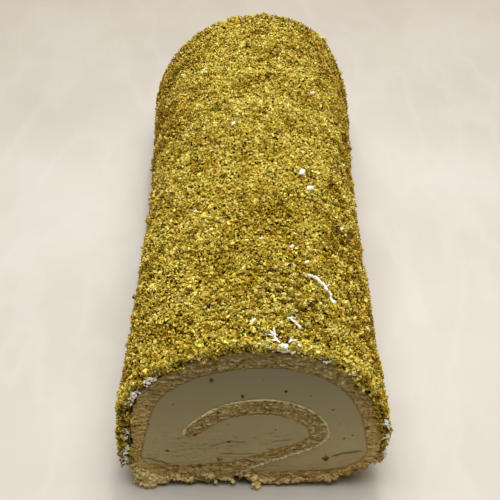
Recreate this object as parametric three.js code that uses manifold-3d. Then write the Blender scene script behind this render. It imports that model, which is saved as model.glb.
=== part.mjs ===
// An ice cream roll cake: one sponge sheet rolled up with ice cream, filmed with cream and
// coated in chopped pistachio. Both ends are cut square, so the roll shows its spiral there.
// Millimetres, +Z up. The roll lies along Y on its flat underside, with the near cut at -Y.

import * as THREE from 'three';
import { mergeVertices } from 'three/addons/utils/BufferGeometryUtils.js';
import Module from 'manifold-3d';

// ---- Driving dimensions ----

const ROLL_LENGTH = 262;
const SPONGE_HEIGHT = 75.4;      // top of the sponge arch above the table
const CREAM_THICKNESS = 1.0;     // film of cream that holds the crumbs
const CRUMB_THICKNESS = { left: 3.5, right: 2.2 };  // mean depth of the crumb coat
const GAP = 0.3;                 // clearance between layers that touch

// The middle line of the sponge sheet at the near cut, from the tip of the hook in the middle,
// clockwise round to the tail under the roll: [x, z, thickness there].
const SHEET_ROUTE = [
  [-25.3, 31.7, 6.0], [-20.0, 37.0, 6.9], [-11.0, 43.2, 7.8], [3.0, 45.9, 8.6], [15.0, 43.4, 8.3],
  [23.0, 37.3, 8.4], [25.4, 30.6, 8.2], [22.0, 25.2, 6.0], [12.0, 20.1, 5.4], [1.0, 15.4, 6.4],
  [-10.5, 9.6, 9.2], [-24.0, 6.1, 12.6], [-36.5, 6.2, 12.4], [-44.7, 9.4, 10.0], [-47.2, 17.0, 4.8],
  [-46.2, 27.0, 5.8], [-43.6, 44.0, 8.4], [-37.6, 54.9, 8.4], [-24.0, 64.7, 8.2], [-5.0, 70.3, 9.2],
  [12.0, 70.5, 9.0], [27.0, 65.3, 8.4], [37.6, 56.2, 8.2], [44.2, 43.2, 7.6], [46.9, 28.0, 6.6],
  [46.6, 17.6, 5.4], [39.5, 10.6, 5.2], [27.0, 6.6, 6.6], [14.0, 4.4, 9.0], [0.4, 4.3, 9.0],
];
const TAIL_EDGE_HEIGHT = 6.5;    // the blunt end of the tail, wedged in under the turn above it
const PRESSED_HEIGHT = 1.2;      // the weight presses everything below this flat on the table

// How the roll settles along its length: narrower in the middle, rounder at the far end.
const WAIST = 0.058;
const FAR_END_STARTS = 0.35;     // share of the length
const FAR_SHOULDER = { left: 0.13, right: 0.06 };
const FAR_SHIFT = -0.8;
const FAR_DROP = 0.008;

// The underside at the near cut, lifted by the knife, with bites torn out: [x, half width, height].
const KNIFE_LIFT = 1.6;
const BITES = [
  [-33, 6.5, 4.4], [-22, 5, 3.2], [-15, 6, 3.4], [8, 6, 2.8], [20, 6, 2.4], [33, 6, 1.8],
];
const BITE_DEPTH = 13;

// Where the cream and the crumbs stop, as heights above the table at the left and right sides.
const CREAM_EDGE = { left: 11, right: 19 };
const CRUMB_EDGE = { left: 16, right: 23 };

// Sampling of the sheet and of the length.
const ROUTE_STEPS = 900;
const MAX_TURN = THREE.MathUtils.degToRad(10);
const MAX_STEP = 9;
const MAX_STEP_LOW = 3.4;        // finer along the ragged underside
const LOW_HEIGHT = 12;
const STATIONS = [0, 60, 110, 160, 212, ROLL_LENGTH];

// Relief of the crumb coat, and the largest crumbs, which stand out of it.
const COAT_COLUMNS = 44;
const COAT_ROWS = 34;
const COAT_RELIEF = 1.5;
const COAT_EDGE_THICKNESS = 1.3;
const COAT_EDGE_WAVE = 0.02;     // share of the arch by which the lower edges wander
const COAT_END_WAVE = 1.2;       // how far the crumbs stop short of the cuts
const CRUMB_COUNT = 144;
const CRUMB_WIDTH = [3.6, 6];
const CRUMB_DEPTH = 3;
const CRUMB_SINK = 0.35;
const SEED = 20;

// ---- Small helpers ----

function seededRandom(seed) {
  let state = seed;
  return () => {
    state = (state + 0x6d2b79f5) | 0;
    let t = Math.imul(state ^ (state >>> 15), 1 | state);
    t = (t + Math.imul(t ^ (t >>> 7), 61 | t)) ^ t;
    return ((t ^ (t >>> 14)) >>> 0) / 4294967296;
  };
}

const { smoothstep, lerp } = THREE.MathUtils;

// A point of the near cut, moved to where the settled roll has it at y from the near cut.
function settle(point, y) {
  const v = y / ROLL_LENGTH;
  const far = smoothstep(v, FAR_END_STARTS, 1);
  const side = point.x < 0 ? FAR_SHOULDER.left : FAR_SHOULDER.right;
  const shoulder = side * far * smoothstep(point.y / SPONGE_HEIGHT, 0.35, 0.8);
  const waist = WAIST * Math.sin(Math.PI * v) ** 1.5;
  const x = point.x * (1 - shoulder - waist) + FAR_SHIFT * far;
  return new THREE.Vector3(x, y, point.y * (1 - FAR_DROP * far));
}

// A closed mesh from a list of vertices and a list of triangles.
function meshGeometry(vertices, triangles) {
  const geometry = new THREE.BufferGeometry().setFromPoints(vertices);
  geometry.setIndex(triangles.flat());
  geometry.computeVertexNormals();
  return geometry;
}

// ---- The sheet ----

// Samples along the sheet, closer together where it bends and along the underside.
// Each has its middle point, its direction, its normal to the inner side and its thickness.
function sheetSamples() {
  const middle = new THREE.SplineCurve(SHEET_ROUTE.map(([x, z]) => new THREE.Vector2(x, z)));
  const depth = new THREE.SplineCurve(SHEET_ROUTE.map((row, i) => new THREE.Vector2(i, row[2])));
  const samples = [];
  for (let i = 0; i <= ROUTE_STEPS; i++) {
    const u = i / ROUTE_STEPS;
    const at = middle.getPoint(u);
    const along = middle.getTangent(u);
    const last = samples.at(-1);
    const maxStep = at.y < LOW_HEIGHT ? MAX_STEP_LOW : MAX_STEP;
    const turned = last && Math.abs(last.along.cross(along)) > Math.sin(MAX_TURN);
    if (!last || turned || at.distanceTo(last.at) > maxStep || i === ROUTE_STEPS) {
      const inward = new THREE.Vector2(along.y, -along.x);
      samples.push({ at, along, inward, thickness: depth.getPoint(u).y });
    }
  }
  return samples;
}

// A face of the sheet: the middle line offset by half the thickness and a clearance.
function innerFace(sample, clearance = 0) {
  return sample.at.clone().addScaledVector(sample.inward, sample.thickness / 2 + clearance);
}

function outerFace(sample, clearance = 0) {
  const point = sample.at.clone().addScaledVector(sample.inward, -sample.thickness / 2 - clearance);
  point.y = point.y < PRESSED_HEIGHT ? 0 : point.y;
  return point;
}

// The round end of the sheet at the hook's tip, from the outer face to the inner one.
function hookTip(sample, clearance = 0) {
  const radius = sample.thickness / 2 + clearance;
  return [45, 90, 135].map((degrees) => {
    const angle = THREE.MathUtils.degToRad(degrees);
    return sample.at.clone()
      .addScaledVector(sample.inward, -radius * Math.cos(angle))
      .addScaledVector(sample.along, -radius * Math.sin(angle));
  });
}

const SHEET = sheetSamples();
const TAIL = SHEET.at(-1);

// The first sample whose outer face is down at the tail's top: the roll closes there.
function closingIndex() {
  const top = innerFace(TAIL, GAP).y;
  return SHEET.findIndex((sample) => sample.along.x < 0 && outerFace(sample, GAP).y < top + 0.6);
}

// ---- Lofts along the length ----

// Splits a four-sided patch along the diagonal whose middle is farther from the roll's axis, so
// that layers lying on each other are split alike and stay parallel.
function splitPatch(points, [a, b, c, d]) {
  const distance = (first, second) => {
    const middle = points[first].clone().lerp(points[second], 0.5);
    return Math.hypot(middle.x, middle.z - SPONGE_HEIGHT / 2);
  };
  return distance(a, c) > distance(b, d) ? [[a, b, c], [a, c, d]] : [[a, b, d], [b, c, d]];
}

// Triangles over a flat closed ring, all facing along or against Y.
function capTriangles(ring, firstVertex, facing) {
  const outline = ring.map((point) => new THREE.Vector2(point.x, point.z));
  return THREE.ShapeUtils.triangulateShape(outline, []).map(([a, b, c]) => {
    const area = THREE.ShapeUtils.area([outline[a], outline[b], outline[c]]);
    const order = Math.sign(area) === -facing ? [a, b, c] : [a, c, b];
    return order.map((index) => index + firstVertex);
  });
}

// Skins a row of rings of equal length, and closes both ends. Each ring runs clockwise as seen
// from the near end.
function loft(rings) {
  const count = rings[0].length;
  const points = rings.flat();
  const triangles = [];
  for (let r = 0; r + 1 < rings.length; r++) {
    for (let i = 0; i < count; i++) {
      const a = r * count + i;
      const b = r * count + ((i + 1) % count);
      triangles.push(...splitPatch(points, [a, b, b + count, a + count]));
    }
  }
  triangles.push(...capTriangles(rings[0], 0, -1));
  triangles.push(...capTriangles(rings.at(-1), (rings.length - 1) * count, 1));
  return meshGeometry(points, triangles);
}

function clockwise(outline) {
  return THREE.ShapeUtils.area(outline) < 0 ? outline : outline.toReversed();
}

function settledRings(outline) {
  return STATIONS.map((y) => clockwise(outline).map((point) => settle(point, y)));
}

// ---- Sponge ----

// The end of the tail, cut to lie against the turn above it, from its top down to the table.
function tailEnd() {
  const cut = SHEET.slice(closingIndex()).map((sample) => outerFace(sample, GAP));
  const wedge = cut.slice(0, cut.findIndex((point) => point.y < TAIL_EDGE_HEIGHT));
  return [...wedge, new THREE.Vector2(wedge.at(-1).x, 0)];
}

function spongeOutline() {
  return [
    ...SHEET.slice(0, -1).map((sample) => innerFace(sample)),
    ...tailEnd(),
    ...SHEET.slice(0, -1).toReversed().map((sample) => outerFace(sample)),
    ...hookTip(SHEET[0]),
  ];
}

// How far the underside is lifted and torn up at x, as the sum of the bites.
function tornHeight(x) {
  return BITES.reduce((sum, [centre, halfWidth, height]) => {
    const reach = Math.min(Math.abs(x - centre) / halfWidth, 1);
    return sum + height * Math.cos(reach * Math.PI / 2) ** 2;
  }, KNIFE_LIFT);
}

// The near cut's ring again at a depth behind it, with its underside torn up by a share.
function tornRing(front, next, y, share) {
  return front.map((point, i) => {
    const moved = point.clone().lerp(next[i], y / STATIONS[1]);
    const torn = share * tornHeight(point.x);
    moved.z = Math.max(moved.z, Math.min(torn, moved.z + torn));
    return moved;
  });
}

function spongeGeometry() {
  const [front, ...rest] = settledRings(spongeOutline());
  return loft([
    tornRing(front, rest[0], 0, 1),
    tornRing(front, rest[0], BITE_DEPTH * 0.4, 0.75),
    tornRing(front, rest[0], BITE_DEPTH, 0),
    ...rest,
  ]);
}

// ---- Ice cream ----

function fillingGeometry() {
  const outline = [
    ...SHEET.map((sample) => innerFace(sample, GAP)),
    ...SHEET.slice(0, closingIndex()).toReversed().map((sample) => outerFace(sample, GAP)),
    ...hookTip(SHEET[0], GAP),
  ];
  return loft(settledRings(outline));
}

// ---- Cream film and crumb coat ----

// The samples of the outer turn between two heights, from the left side over to the right.
function archSamples(edge) {
  const middle = Math.round((SHEET.length + closingIndex()) / 2);
  const onLeft = (sample, i) => i > closingIndex() && outerFace(sample).y > edge.left;
  const onRight = (sample, i) => i > middle && outerFace(sample).y < edge.right;
  return SHEET.slice(SHEET.findIndex(onLeft), SHEET.findIndex(onRight));
}

function creamGeometry() {
  const arch = archSamples(CREAM_EDGE);
  const outline = [
    ...arch.map((sample) => outerFace(sample, GAP + CREAM_THICKNESS)),
    ...arch.toReversed().map((sample) => outerFace(sample, GAP)),
  ];
  return loft(settledRings(outline));
}

const COAT_BASE = GAP + CREAM_THICKNESS + GAP;
const COAT_ARCH = archSamples(CRUMB_EDGE);

// The crumbs lie deeper on the left side of the roll than on the right.
function coatThickness(share) {
  return lerp(CRUMB_THICKNESS.left, CRUMB_THICKNESS.right, share);
}

// The arch at a share of its length from left to right, raised by a height over the cream.
function coatPoint(share, y, height) {
  const place = share * (COAT_ARCH.length - 1);
  const index = Math.min(Math.floor(place), COAT_ARCH.length - 2);
  const low = outerFace(COAT_ARCH[index], COAT_BASE + height);
  const high = outerFace(COAT_ARCH[index + 1], COAT_BASE + height);
  return settle(low.lerp(high, place - index), y);
}

// Triangles between two polylines of vertex numbers that run the same way side by side.
function strip(outer, inner) {
  const triangles = [];
  let a = 0;
  let b = 0;
  while (a < outer.length - 1 || b < inner.length - 1) {
    const nextA = (a + 1) / (outer.length - 1);
    const nextB = (b + 1) / (inner.length - 1);
    if (b === inner.length - 1 || (a < outer.length - 1 && nextA <= nextB)) {
      triangles.push([outer[a + 1], outer[a], inner[b]]);
      a += 1;
    } else {
      triangles.push([outer[a], inner[b], inner[b + 1]]);
      b += 1;
    }
  }
  return triangles;
}

// A grid of points with its triangles and its border, side by side in turn.
function gridPatch(columns, rows, firstVertex, pointAt) {
  const number = (column, row) => firstVertex + row * (columns + 1) + column;
  const acrossAll = Array.from({ length: columns + 1 }, (_, column) => column);
  const alongAll = Array.from({ length: rows + 1 }, (_, row) => row);
  const vertices = alongAll.flatMap((row) => acrossAll.map((column) => pointAt(column, row)));
  const triangles = [];
  for (let row = 0; row < rows; row++) {
    for (let column = 0; column < columns; column++) {
      const near = [number(column, row), number(column + 1, row)];
      const far = [number(column + 1, row + 1), number(column, row + 1)];
      const patch = [...near, ...far].map((vertex) => vertex - firstVertex);
      triangles.push(...splitPatch(vertices, patch).map((t) => t.map((v) => v + firstVertex)));
    }
  }
  const sides = [
    acrossAll.map((column) => number(column, 0)),
    alongAll.map((row) => number(columns, row)),
    acrossAll.toReversed().map((column) => number(column, rows)),
    alongAll.toReversed().map((row) => number(0, row)),
  ];
  return { vertices, triangles, sides };
}

// The coat without its largest crumbs: a bumpy outside with uneven edges over a smooth inside.
function coatShell(random) {
  const outer = gridPatch(COAT_COLUMNS, COAT_ROWS, 0, (column, row) => {
    const towardsRight = column / COAT_COLUMNS;
    const edge = smoothstep(Math.min(towardsRight, 1 - towardsRight), 0, 0.04);
    const share = lerp(COAT_EDGE_WAVE * random(), 1 - COAT_EDGE_WAVE * random(), towardsRight);
    const bump = COAT_RELIEF * (random() - 0.5);
    const height = lerp(COAT_EDGE_THICKNESS, coatThickness(share) + bump, edge);
    const atEnd = row === 0 || row === COAT_ROWS;
    const inset = atEnd ? COAT_END_WAVE * random() : 0;
    const y = lerp(inset, ROLL_LENGTH - inset, row / COAT_ROWS);
    return coatPoint(share, y, height);
  });
  const columns = COAT_ARCH.length - 1;
  const inner = gridPatch(columns, STATIONS.length - 1, outer.vertices.length, (column, row) =>
    coatPoint(column / columns, STATIONS[row], 0));
  const rims = outer.sides.flatMap((side, i) => strip(side, inner.sides[i]));
  const inside = inner.triangles.map(([a, b, c]) => [a, c, b]);
  return meshGeometry(
    [...outer.vertices, ...inner.vertices],
    [...outer.triangles, ...inside, ...rims],
  );
}

// One large crumb: an uneven flattened grain, turned about the coat's normal and part sunk in.
function crumbGeometry(random, share, y) {
  const surface = coatPoint(share, y, coatThickness(share));
  const at = coatPoint(share, y, coatThickness(share) - CRUMB_SINK);
  const outward = surface.sub(at).normalize();
  const grain = mergeVertices(new THREE.IcosahedronGeometry(0.5, 0).deleteAttribute('normal')
    .deleteAttribute('uv'));
  grain.rotateX(random() * Math.PI);
  grain.scale(lerp(...CRUMB_WIDTH, random()), lerp(...CRUMB_WIDTH, random()), CRUMB_DEPTH);
  grain.rotateZ(random() * Math.PI);
  const turn = new THREE.Quaternion().setFromUnitVectors(new THREE.Vector3(0, 0, 1), outward);
  return grain.applyQuaternion(turn).translate(at.x, at.y, at.z);
}

// The crumbs lie evenly over the coat: one in each cell of a grid, shifted within it by chance.
function largeCrumbs(random) {
  const columns = Math.round(Math.sqrt(CRUMB_COUNT * 0.75));
  const rows = Math.round(CRUMB_COUNT / columns);
  return Array.from({ length: columns * rows }, (_, i) => {
    const share = ((i % columns) + 0.15 + 0.7 * random()) / columns;
    const v = (Math.floor(i / columns) + 0.15 + 0.7 * random()) / rows;
    return crumbGeometry(random, lerp(0.03, 0.97, share), lerp(4, ROLL_LENGTH - 4, v));
  });
}

// ---- Joining ----

const wasm = await Module();
wasm.setup();

function toSolid(geometry) {
  return new wasm.Manifold(new wasm.Mesh({
    numProp: 3,
    vertProperties: new Float32Array(geometry.getAttribute('position').array),
    triVerts: new Uint32Array(geometry.index.array),
  }));
}

function toGeometry(solid) {
  const { vertProperties, triVerts } = solid.getMesh();
  const geometry = new THREE.BufferGeometry();
  geometry.setAttribute('position', new THREE.BufferAttribute(vertProperties, 3));
  geometry.setIndex(new THREE.BufferAttribute(triVerts, 1));
  geometry.computeVertexNormals();
  return geometry;
}

function coatGeometry() {
  const random = seededRandom(SEED);
  const shell = toSolid(coatShell(random));
  return toGeometry(largeCrumbs(random).reduce((coat, crumb) => coat.add(toSolid(crumb)), shell));
}

// ---- The roll ----

function piece(name, geometry, color, roughness) {
  const material = new THREE.MeshStandardMaterial({ color, roughness, metalness: 0 });
  const mesh = new THREE.Mesh(geometry, material);
  mesh.name = name;
  return mesh;
}

const roll = new THREE.Group();
roll.add(piece('sponge', spongeGeometry(), 0xcdb88a, 0.95));
roll.add(piece('filling', fillingGeometry(), 0xb9b08a, 0.6));
roll.add(piece('cream_film', creamGeometry(), 0xeeeadc, 0.5));
roll.add(piece('crumb_coat', coatGeometry(), 0x9a8b2c, 0.85));

// The origin is the middle of the underside's bounding box.
const bounds = new THREE.Box3().setFromObject(roll);
const centre = bounds.getCenter(new THREE.Vector3());
roll.position.set(-centre.x, -centre.y, -bounds.min.z);

export default roll;
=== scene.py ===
# An ice cream roll cake lying on a pale floor: rolled sponge, ice cream, cream and nut crumbs.
# All shapes are worked out in millimetres in the roll's own frame and turned into metres last.

import itertools
import math

import bmesh
import bpy
import numpy as np
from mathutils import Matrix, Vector
from mathutils.geometry import delaunay_2d_cdt


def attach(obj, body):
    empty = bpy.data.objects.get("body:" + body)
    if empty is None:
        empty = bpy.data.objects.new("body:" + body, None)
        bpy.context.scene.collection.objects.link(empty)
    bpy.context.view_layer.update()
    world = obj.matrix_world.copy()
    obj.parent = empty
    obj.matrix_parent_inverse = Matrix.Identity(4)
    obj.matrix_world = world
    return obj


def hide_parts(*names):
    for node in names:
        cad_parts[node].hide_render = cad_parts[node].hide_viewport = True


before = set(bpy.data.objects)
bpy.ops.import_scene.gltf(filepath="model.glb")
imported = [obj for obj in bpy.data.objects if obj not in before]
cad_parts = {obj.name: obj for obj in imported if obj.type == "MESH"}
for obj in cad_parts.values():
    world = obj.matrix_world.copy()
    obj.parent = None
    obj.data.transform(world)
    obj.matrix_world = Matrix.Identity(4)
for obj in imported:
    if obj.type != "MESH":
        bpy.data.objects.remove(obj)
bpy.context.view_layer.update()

# ---- The roll's sizes, as in the solids ----

METRES = 0.001
ROLL_LENGTH = 262
SPONGE_HEIGHT = 75.4
CENTRE_X = 0.64                   # the route's x = 0 in the roll's frame
NEAR_CUT = -ROLL_LENGTH / 2
FAR_CUT = ROLL_LENGTH / 2
GAP = 0.3
CREAM_THICKNESS = 1.0
CRUMB_THICKNESS = (3.5, 2.2)      # left, right
COAT_BASE = GAP + CREAM_THICKNESS + GAP
PRESSED_HEIGHT = 1.2
TAIL_EDGE_HEIGHT = 6.5
WAIST = 0.058
FAR_END_STARTS = 0.35
FAR_SHOULDER = (0.13, 0.06)       # left, right
SHOULDER_RISE = (0.35, 0.8)       # shares of the height between which the shoulder comes in
FAR_SHIFT = -0.8
FAR_DROP = 0.008
CREAM_EDGE = (11, 19)             # heights above the floor, left, right
CRUMB_EDGE = (16, 23)

# The middle line of the sheet at the near cut, from the hook's tip to the tail: x, z, thickness.
SHEET_ROUTE = np.array([
    (-25.3, 31.7, 6.0), (-20.0, 37.0, 6.9), (-11.0, 43.2, 7.8), (3.0, 45.9, 8.6), (15.0, 43.4, 8.3),
    (23.0, 37.3, 8.4), (25.4, 30.6, 8.2), (22.0, 25.2, 6.0), (12.0, 20.1, 5.4), (1.0, 15.4, 6.4),
    (-10.5, 9.6, 9.2), (-24.0, 6.1, 12.6), (-36.5, 6.2, 12.4), (-44.7, 9.4, 10.0),
    (-47.2, 17.0, 4.8), (-46.2, 27.0, 5.8), (-43.6, 44.0, 8.4), (-37.6, 54.9, 8.4),
    (-24.0, 64.7, 8.2), (-5.0, 70.3, 9.2), (12.0, 70.5, 9.0), (27.0, 65.3, 8.4),
    (37.6, 56.2, 8.2), (44.2, 43.2, 7.6), (46.9, 28.0, 6.6), (46.6, 17.6, 5.4),
    (39.5, 10.6, 5.2), (27.0, 6.6, 6.6), (14.0, 4.4, 9.0), (0.4, 4.3, 9.0),
])

# The torn underside at the near cut: x, half width, how far it is torn up. The bite at x = -4.8 is
# a little wider and lower than in the solid.
BITES = (
    (-31.5, 5.5, 3.6), (-22, 4.5, 2.6), (-15.5, 4.5, 3.4), (-4.8, 4.6, 4.2), (9, 6, 1.2),
    (20, 6, 1.6), (31, 5, 2.4), (42, 6, 2.0),
)
KNIFE_LIFT = 0.8
BITE_DEPTH = 13
TAIL_RISE = 0.6                   # the turn closes this far over the tail's top
CURVE_POINTS = 6000

# ---- Numbers ----


def smoothstep(value, low, high):
    share = np.clip((value - low) / (high - low), 0, 1)
    return share * share * (3 - 2 * share)


def stack(*columns):
    """An array of points from numbers and arrays, one for each axis."""
    return np.stack(np.broadcast_arrays(*columns), axis=-1).astype(float)


def unit(vectors):
    """Vectors of length 1."""
    return vectors / (np.linalg.norm(vectors, axis=-1, keepdims=True) + 1e-9)


def hashed(cells, seed):
    """A number from -1 to 1 for each lattice cell."""
    mixed = cells[:, 0] * 374761393 + cells[:, 1] * 668265263 + cells[:, 2] * 1103515245
    mixed = mixed + seed * 144665
    mixed = (mixed ^ (mixed >> 13)) * 1274126177
    mixed = mixed ^ (mixed >> 16)
    return (mixed & 0xFFFF) / 32767.5 - 1


def noise(points, size, seed):
    """Smooth noise from -1 to 1 at points, given as an array or as a tuple of axes."""
    cells = (stack(*points) if isinstance(points, tuple) else points) / size
    low = np.floor(cells).astype(np.int64)
    part = cells - low
    part = part * part * (3 - 2 * part)
    total = np.zeros(len(cells))
    for corner in itertools.product((0, 1), repeat=3):
        corner = np.array(corner)
        weight = np.prod(np.where(corner == 1, part, 1 - part), axis=1)
        total += weight * hashed(low + corner, seed)
    return total


def ridged(points, size, seed):
    """Noise from 0 to 1 with sharp ridges."""
    return 1 - np.abs(noise(points, size, seed))


def settled(x, y, z):
    """A point of the near cut, moved to where the settled roll has it at y."""
    share = (y - NEAR_CUT) / ROLL_LENGTH
    far = smoothstep(share, FAR_END_STARTS, 1)
    side = np.where(x < 0, *FAR_SHOULDER)
    shoulder = side * far * smoothstep(z / SPONGE_HEIGHT, *SHOULDER_RISE)
    waist = WAIST * np.sin(np.pi * np.clip(share, 0, 1)) ** 1.5
    moved = x * (1 - shoulder - waist) + FAR_SHIFT * far
    return stack(moved + CENTRE_X, y, z * (1 - FAR_DROP * far))


# ---- The sheet at the cut ----


def catmull_rom(rows, count):
    """Points along a smooth curve through rows."""
    last = len(rows) - 1
    place = np.linspace(0, last, count)
    index = np.minimum(place.astype(int), last - 1)
    t = (place - index)[:, None]
    before = rows[np.maximum(index - 1, 0)]
    start = rows[index]
    end = rows[index + 1]
    after = rows[np.minimum(index + 2, last)]
    pull = 2 * before - 5 * start + 4 * end - after
    bend = 3 * start - before - 3 * end + after
    return 0.5 * (2 * start + (end - before) * t + pull * t ** 2 + bend * t ** 3)


class Sheet:
    """The sheet's middle line in equal steps, with its two faces."""

    def __init__(self, step):
        curve = catmull_rom(SHEET_ROUTE, CURVE_POINTS)
        run = np.hypot(*np.diff(curve[:, :2], axis=0).T)
        length = np.concatenate([[0], np.cumsum(run)])
        self.s = np.linspace(0, length[-1], int(length[-1] / step) + 1)
        self.at = np.stack([np.interp(self.s, length, curve[:, k]) for k in (0, 1)], axis=1)
        self.half = np.interp(self.s, length, curve[:, 2]) / 2
        along = np.gradient(self.at, axis=0)
        self.along = along / np.linalg.norm(along, axis=1)[:, None]
        self.inward = np.stack([self.along[:, 1], -self.along[:, 0]], axis=1)

    def inner(self, clearance=0.0):
        return self.at + self.inward * (self.half + clearance)[:, None]

    def outer(self, clearance=0.0):
        face = self.at - self.inward * (self.half + clearance)[:, None]
        face[:, 1] = np.where(face[:, 1] < PRESSED_HEIGHT, 0, face[:, 1])
        return face

    def closing(self):
        """Where the turn's outer face comes down onto the tail's top."""
        top = self.inner(GAP)[-1, 1] + TAIL_RISE
        return int(np.argmax((self.along[:, 0] < 0) & (self.outer(GAP)[:, 1] < top)))

    def arch(self, edges):
        """The part of the outer turn above two heights, from the left side over to the right."""
        height = self.outer()[:, 1]
        middle = (len(self.s) + self.closing()) // 2
        order = np.arange(len(self.s))
        left = np.flatnonzero((order < middle) & (height <= edges[0]))[-1] + 1
        right = np.argmax((order > middle) & (height < edges[1]))
        return slice(left, right)


def torn_height(x):
    """How far the underside is torn up at the near cut."""
    total = KNIFE_LIFT * np.ones_like(x)
    for centre, half_width, height in BITES:
        reach = np.minimum(np.abs(x - centre) / half_width, 1)
        total = total + height * np.cos(reach * np.pi / 2) ** 2
    return total


# ---- Meshes from arrays ----

COARSER = 5                       # a shell's underside has every fifth of its columns and rows


def new_object(name, vertices, faces, material, slot, smooth=True):
    """A mesh object in metres from points in millimetres and an array of equal faces."""
    vertices = np.asarray(vertices, float)
    faces = np.asarray(faces, np.int32)
    sides = faces.shape[1]
    mesh = bpy.data.meshes.new(name)
    mesh.vertices.add(len(vertices))
    mesh.vertices.foreach_set("co", (vertices * METRES).astype(np.float32).ravel())
    mesh.loops.add(faces.size)
    mesh.loops.foreach_set("vertex_index", faces.ravel())
    mesh.polygons.add(len(faces))
    mesh.polygons.foreach_set("loop_start", np.arange(0, faces.size, sides, dtype=np.int32))
    mesh.update(calc_edges=True)
    mesh.polygons.foreach_set("use_smooth", np.full(len(faces), smooth))
    mesh.materials.append(material)
    shown = bpy.data.objects.new(name, mesh)
    bpy.context.scene.collection.objects.link(shown)
    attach(shown, "root")
    return shown


def give_attribute(shown, name, values):
    """A number for each vertex that the material reads by name, and 0 past the last one given."""
    padded = np.zeros(len(shown.data.vertices), np.float32)
    padded[:len(values)] = values
    shown.data.attributes.new(name, "FLOAT", "POINT").data.foreach_set("value", padded)


def grid_faces(columns, rows, first=0):
    """Four-sided faces over a grid of points, stored row by row."""
    column, row = np.meshgrid(np.arange(columns - 1), np.arange(rows - 1))
    corner = first + (row * columns + column).ravel()
    return np.stack([corner, corner + 1, corner + columns + 1, corner + columns], axis=1)


def halved(quads):
    """Two triangles from each four-sided face."""
    return np.concatenate([quads[:, [0, 1, 2]], quads[:, [0, 2, 3]]])


def ring_walls(rings):
    """Four-sided faces between closed rings of point numbers."""
    pairs = zip(rings, rings[1:])
    return np.concatenate([
        np.stack([low, np.roll(low, -1), np.roll(high, -1), high], axis=1) for low, high in pairs
    ])


def grid_shares(columns, rows):
    """How far across and how far along each point of a grid lies, from 0 to 1, row by row."""
    grid = np.meshgrid(np.linspace(0, 1, columns), np.linspace(0, 1, rows))
    return [shares.ravel() for shares in grid]


def shell_faces(columns, rows, first, below):
    """Triangles of a closed shell: a grid, walls, and an underside with every fifth column and row."""
    below_columns = (columns - 1) // COARSER + 1
    below_rows = (rows - 1) // COARSER + 1
    top = halved(grid_faces(columns, rows, first))
    underside = halved(grid_faces(below_columns, below_rows, below)[:, ::-1])
    edge = first + border(columns, rows)
    low_edge = below + border(below_columns, below_rows)
    walls = np.stack([edge, np.repeat(low_edge, COARSER), np.roll(edge, -1)], axis=1)
    next_corner = np.roll(edge, -COARSER)[::COARSER]
    low_walls = np.stack([low_edge, np.roll(low_edge, -1), next_corner], axis=1)
    return np.concatenate([top, underside, walls, low_walls])


def coarser(points, columns, rows):
    """Every fifth column and row of a grid of points."""
    return points.reshape(rows, columns, 3)[::COARSER, ::COARSER].reshape(-1, 3)


def border(columns, rows):
    """The numbers of a grid's border points, in turn."""
    grid = np.arange(columns * rows).reshape(rows, columns)
    return np.concatenate([grid[0, :-1], grid[:-1, -1], grid[-1, :0:-1], grid[:0:-1, 0]])


def facing_out(shown):
    """Turns a closed mesh's faces outward."""
    work = bmesh.new()
    work.from_mesh(shown.data)
    bmesh.ops.recalc_face_normals(work, faces=work.faces)
    work.to_mesh(shown.data)
    work.free()


def new_shells(name, parts, material, slot):
    """One object of closed shells: each part has top and bottom points, columns and rows."""
    tops = [top for top, _, _, _ in parts]
    bottoms = [coarser(bottom, columns, rows) for _, bottom, columns, rows in parts]
    starts = np.cumsum([0] + [len(points) for points in tops + bottoms])
    faces = []
    for number, (_, _, columns, rows) in enumerate(parts):
        faces.append(shell_faces(columns, rows, starts[number], starts[len(parts) + number]))
    shells = new_object(name, np.concatenate(tops + bottoms), np.concatenate(faces), material, slot)
    facing_out(shells)
    return shells


def new_log(name, near, rings, far, edge, cap, material, slot):
    """A closed object from two end faces of the same build, their edge and the rings between them."""
    past = len(near) + len(rings) * len(edge)
    between = np.arange(len(near), past).reshape(len(rings), len(edge))
    walls = ring_walls([edge, *between, past + edge])
    if cap.shape[1] == 3:
        walls = halved(walls)
    faces = np.concatenate([cap, cap[:, ::-1] + past, walls])
    log = new_object(name, np.concatenate([near, *rings, far]), faces, material, slot)
    facing_out(log)
    return log


def remeshed(shown, voxel):
    """The object's pieces joined into one skin, as points in millimetres, normals and faces."""
    joined = shown.modifiers.new("joined", "REMESH")
    joined.mode = "VOXEL"
    joined.voxel_size = voxel * METRES
    evaluated = shown.evaluated_get(bpy.context.evaluated_depsgraph_get())
    done = bpy.data.meshes.new_from_object(evaluated)
    points, normals = np.empty((2, len(done.vertices) * 3))
    done.vertices.foreach_get("co", points)
    done.vertices.foreach_get("normal", normals)
    faces = np.empty(len(done.polygons) * 4, int)
    done.polygons.foreach_get("vertices", faces)
    bpy.data.meshes.remove(done)
    bpy.data.objects.remove(shown)
    return points.reshape(-1, 3) / METRES, normals.reshape(-1, 3), faces.reshape(-1, 4)


# ---- Sponge ----

FACE_STEP = 0.32                  # between points of the cut faces
HOOK_ENDS = 105                   # lengths along the sheet
OUTER_TURN_STARTS = 150
FACE_ROWS = 27
RELIEF_DEPTH = 0.76               # of the cut faces where no fibre stands up
RING_DEPTHS = (0.4, 0.9, 1.7, 2.8, 4.4, 6.6, 9.4, BITE_DEPTH, 40, 85, 131, 177, 222)


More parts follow.
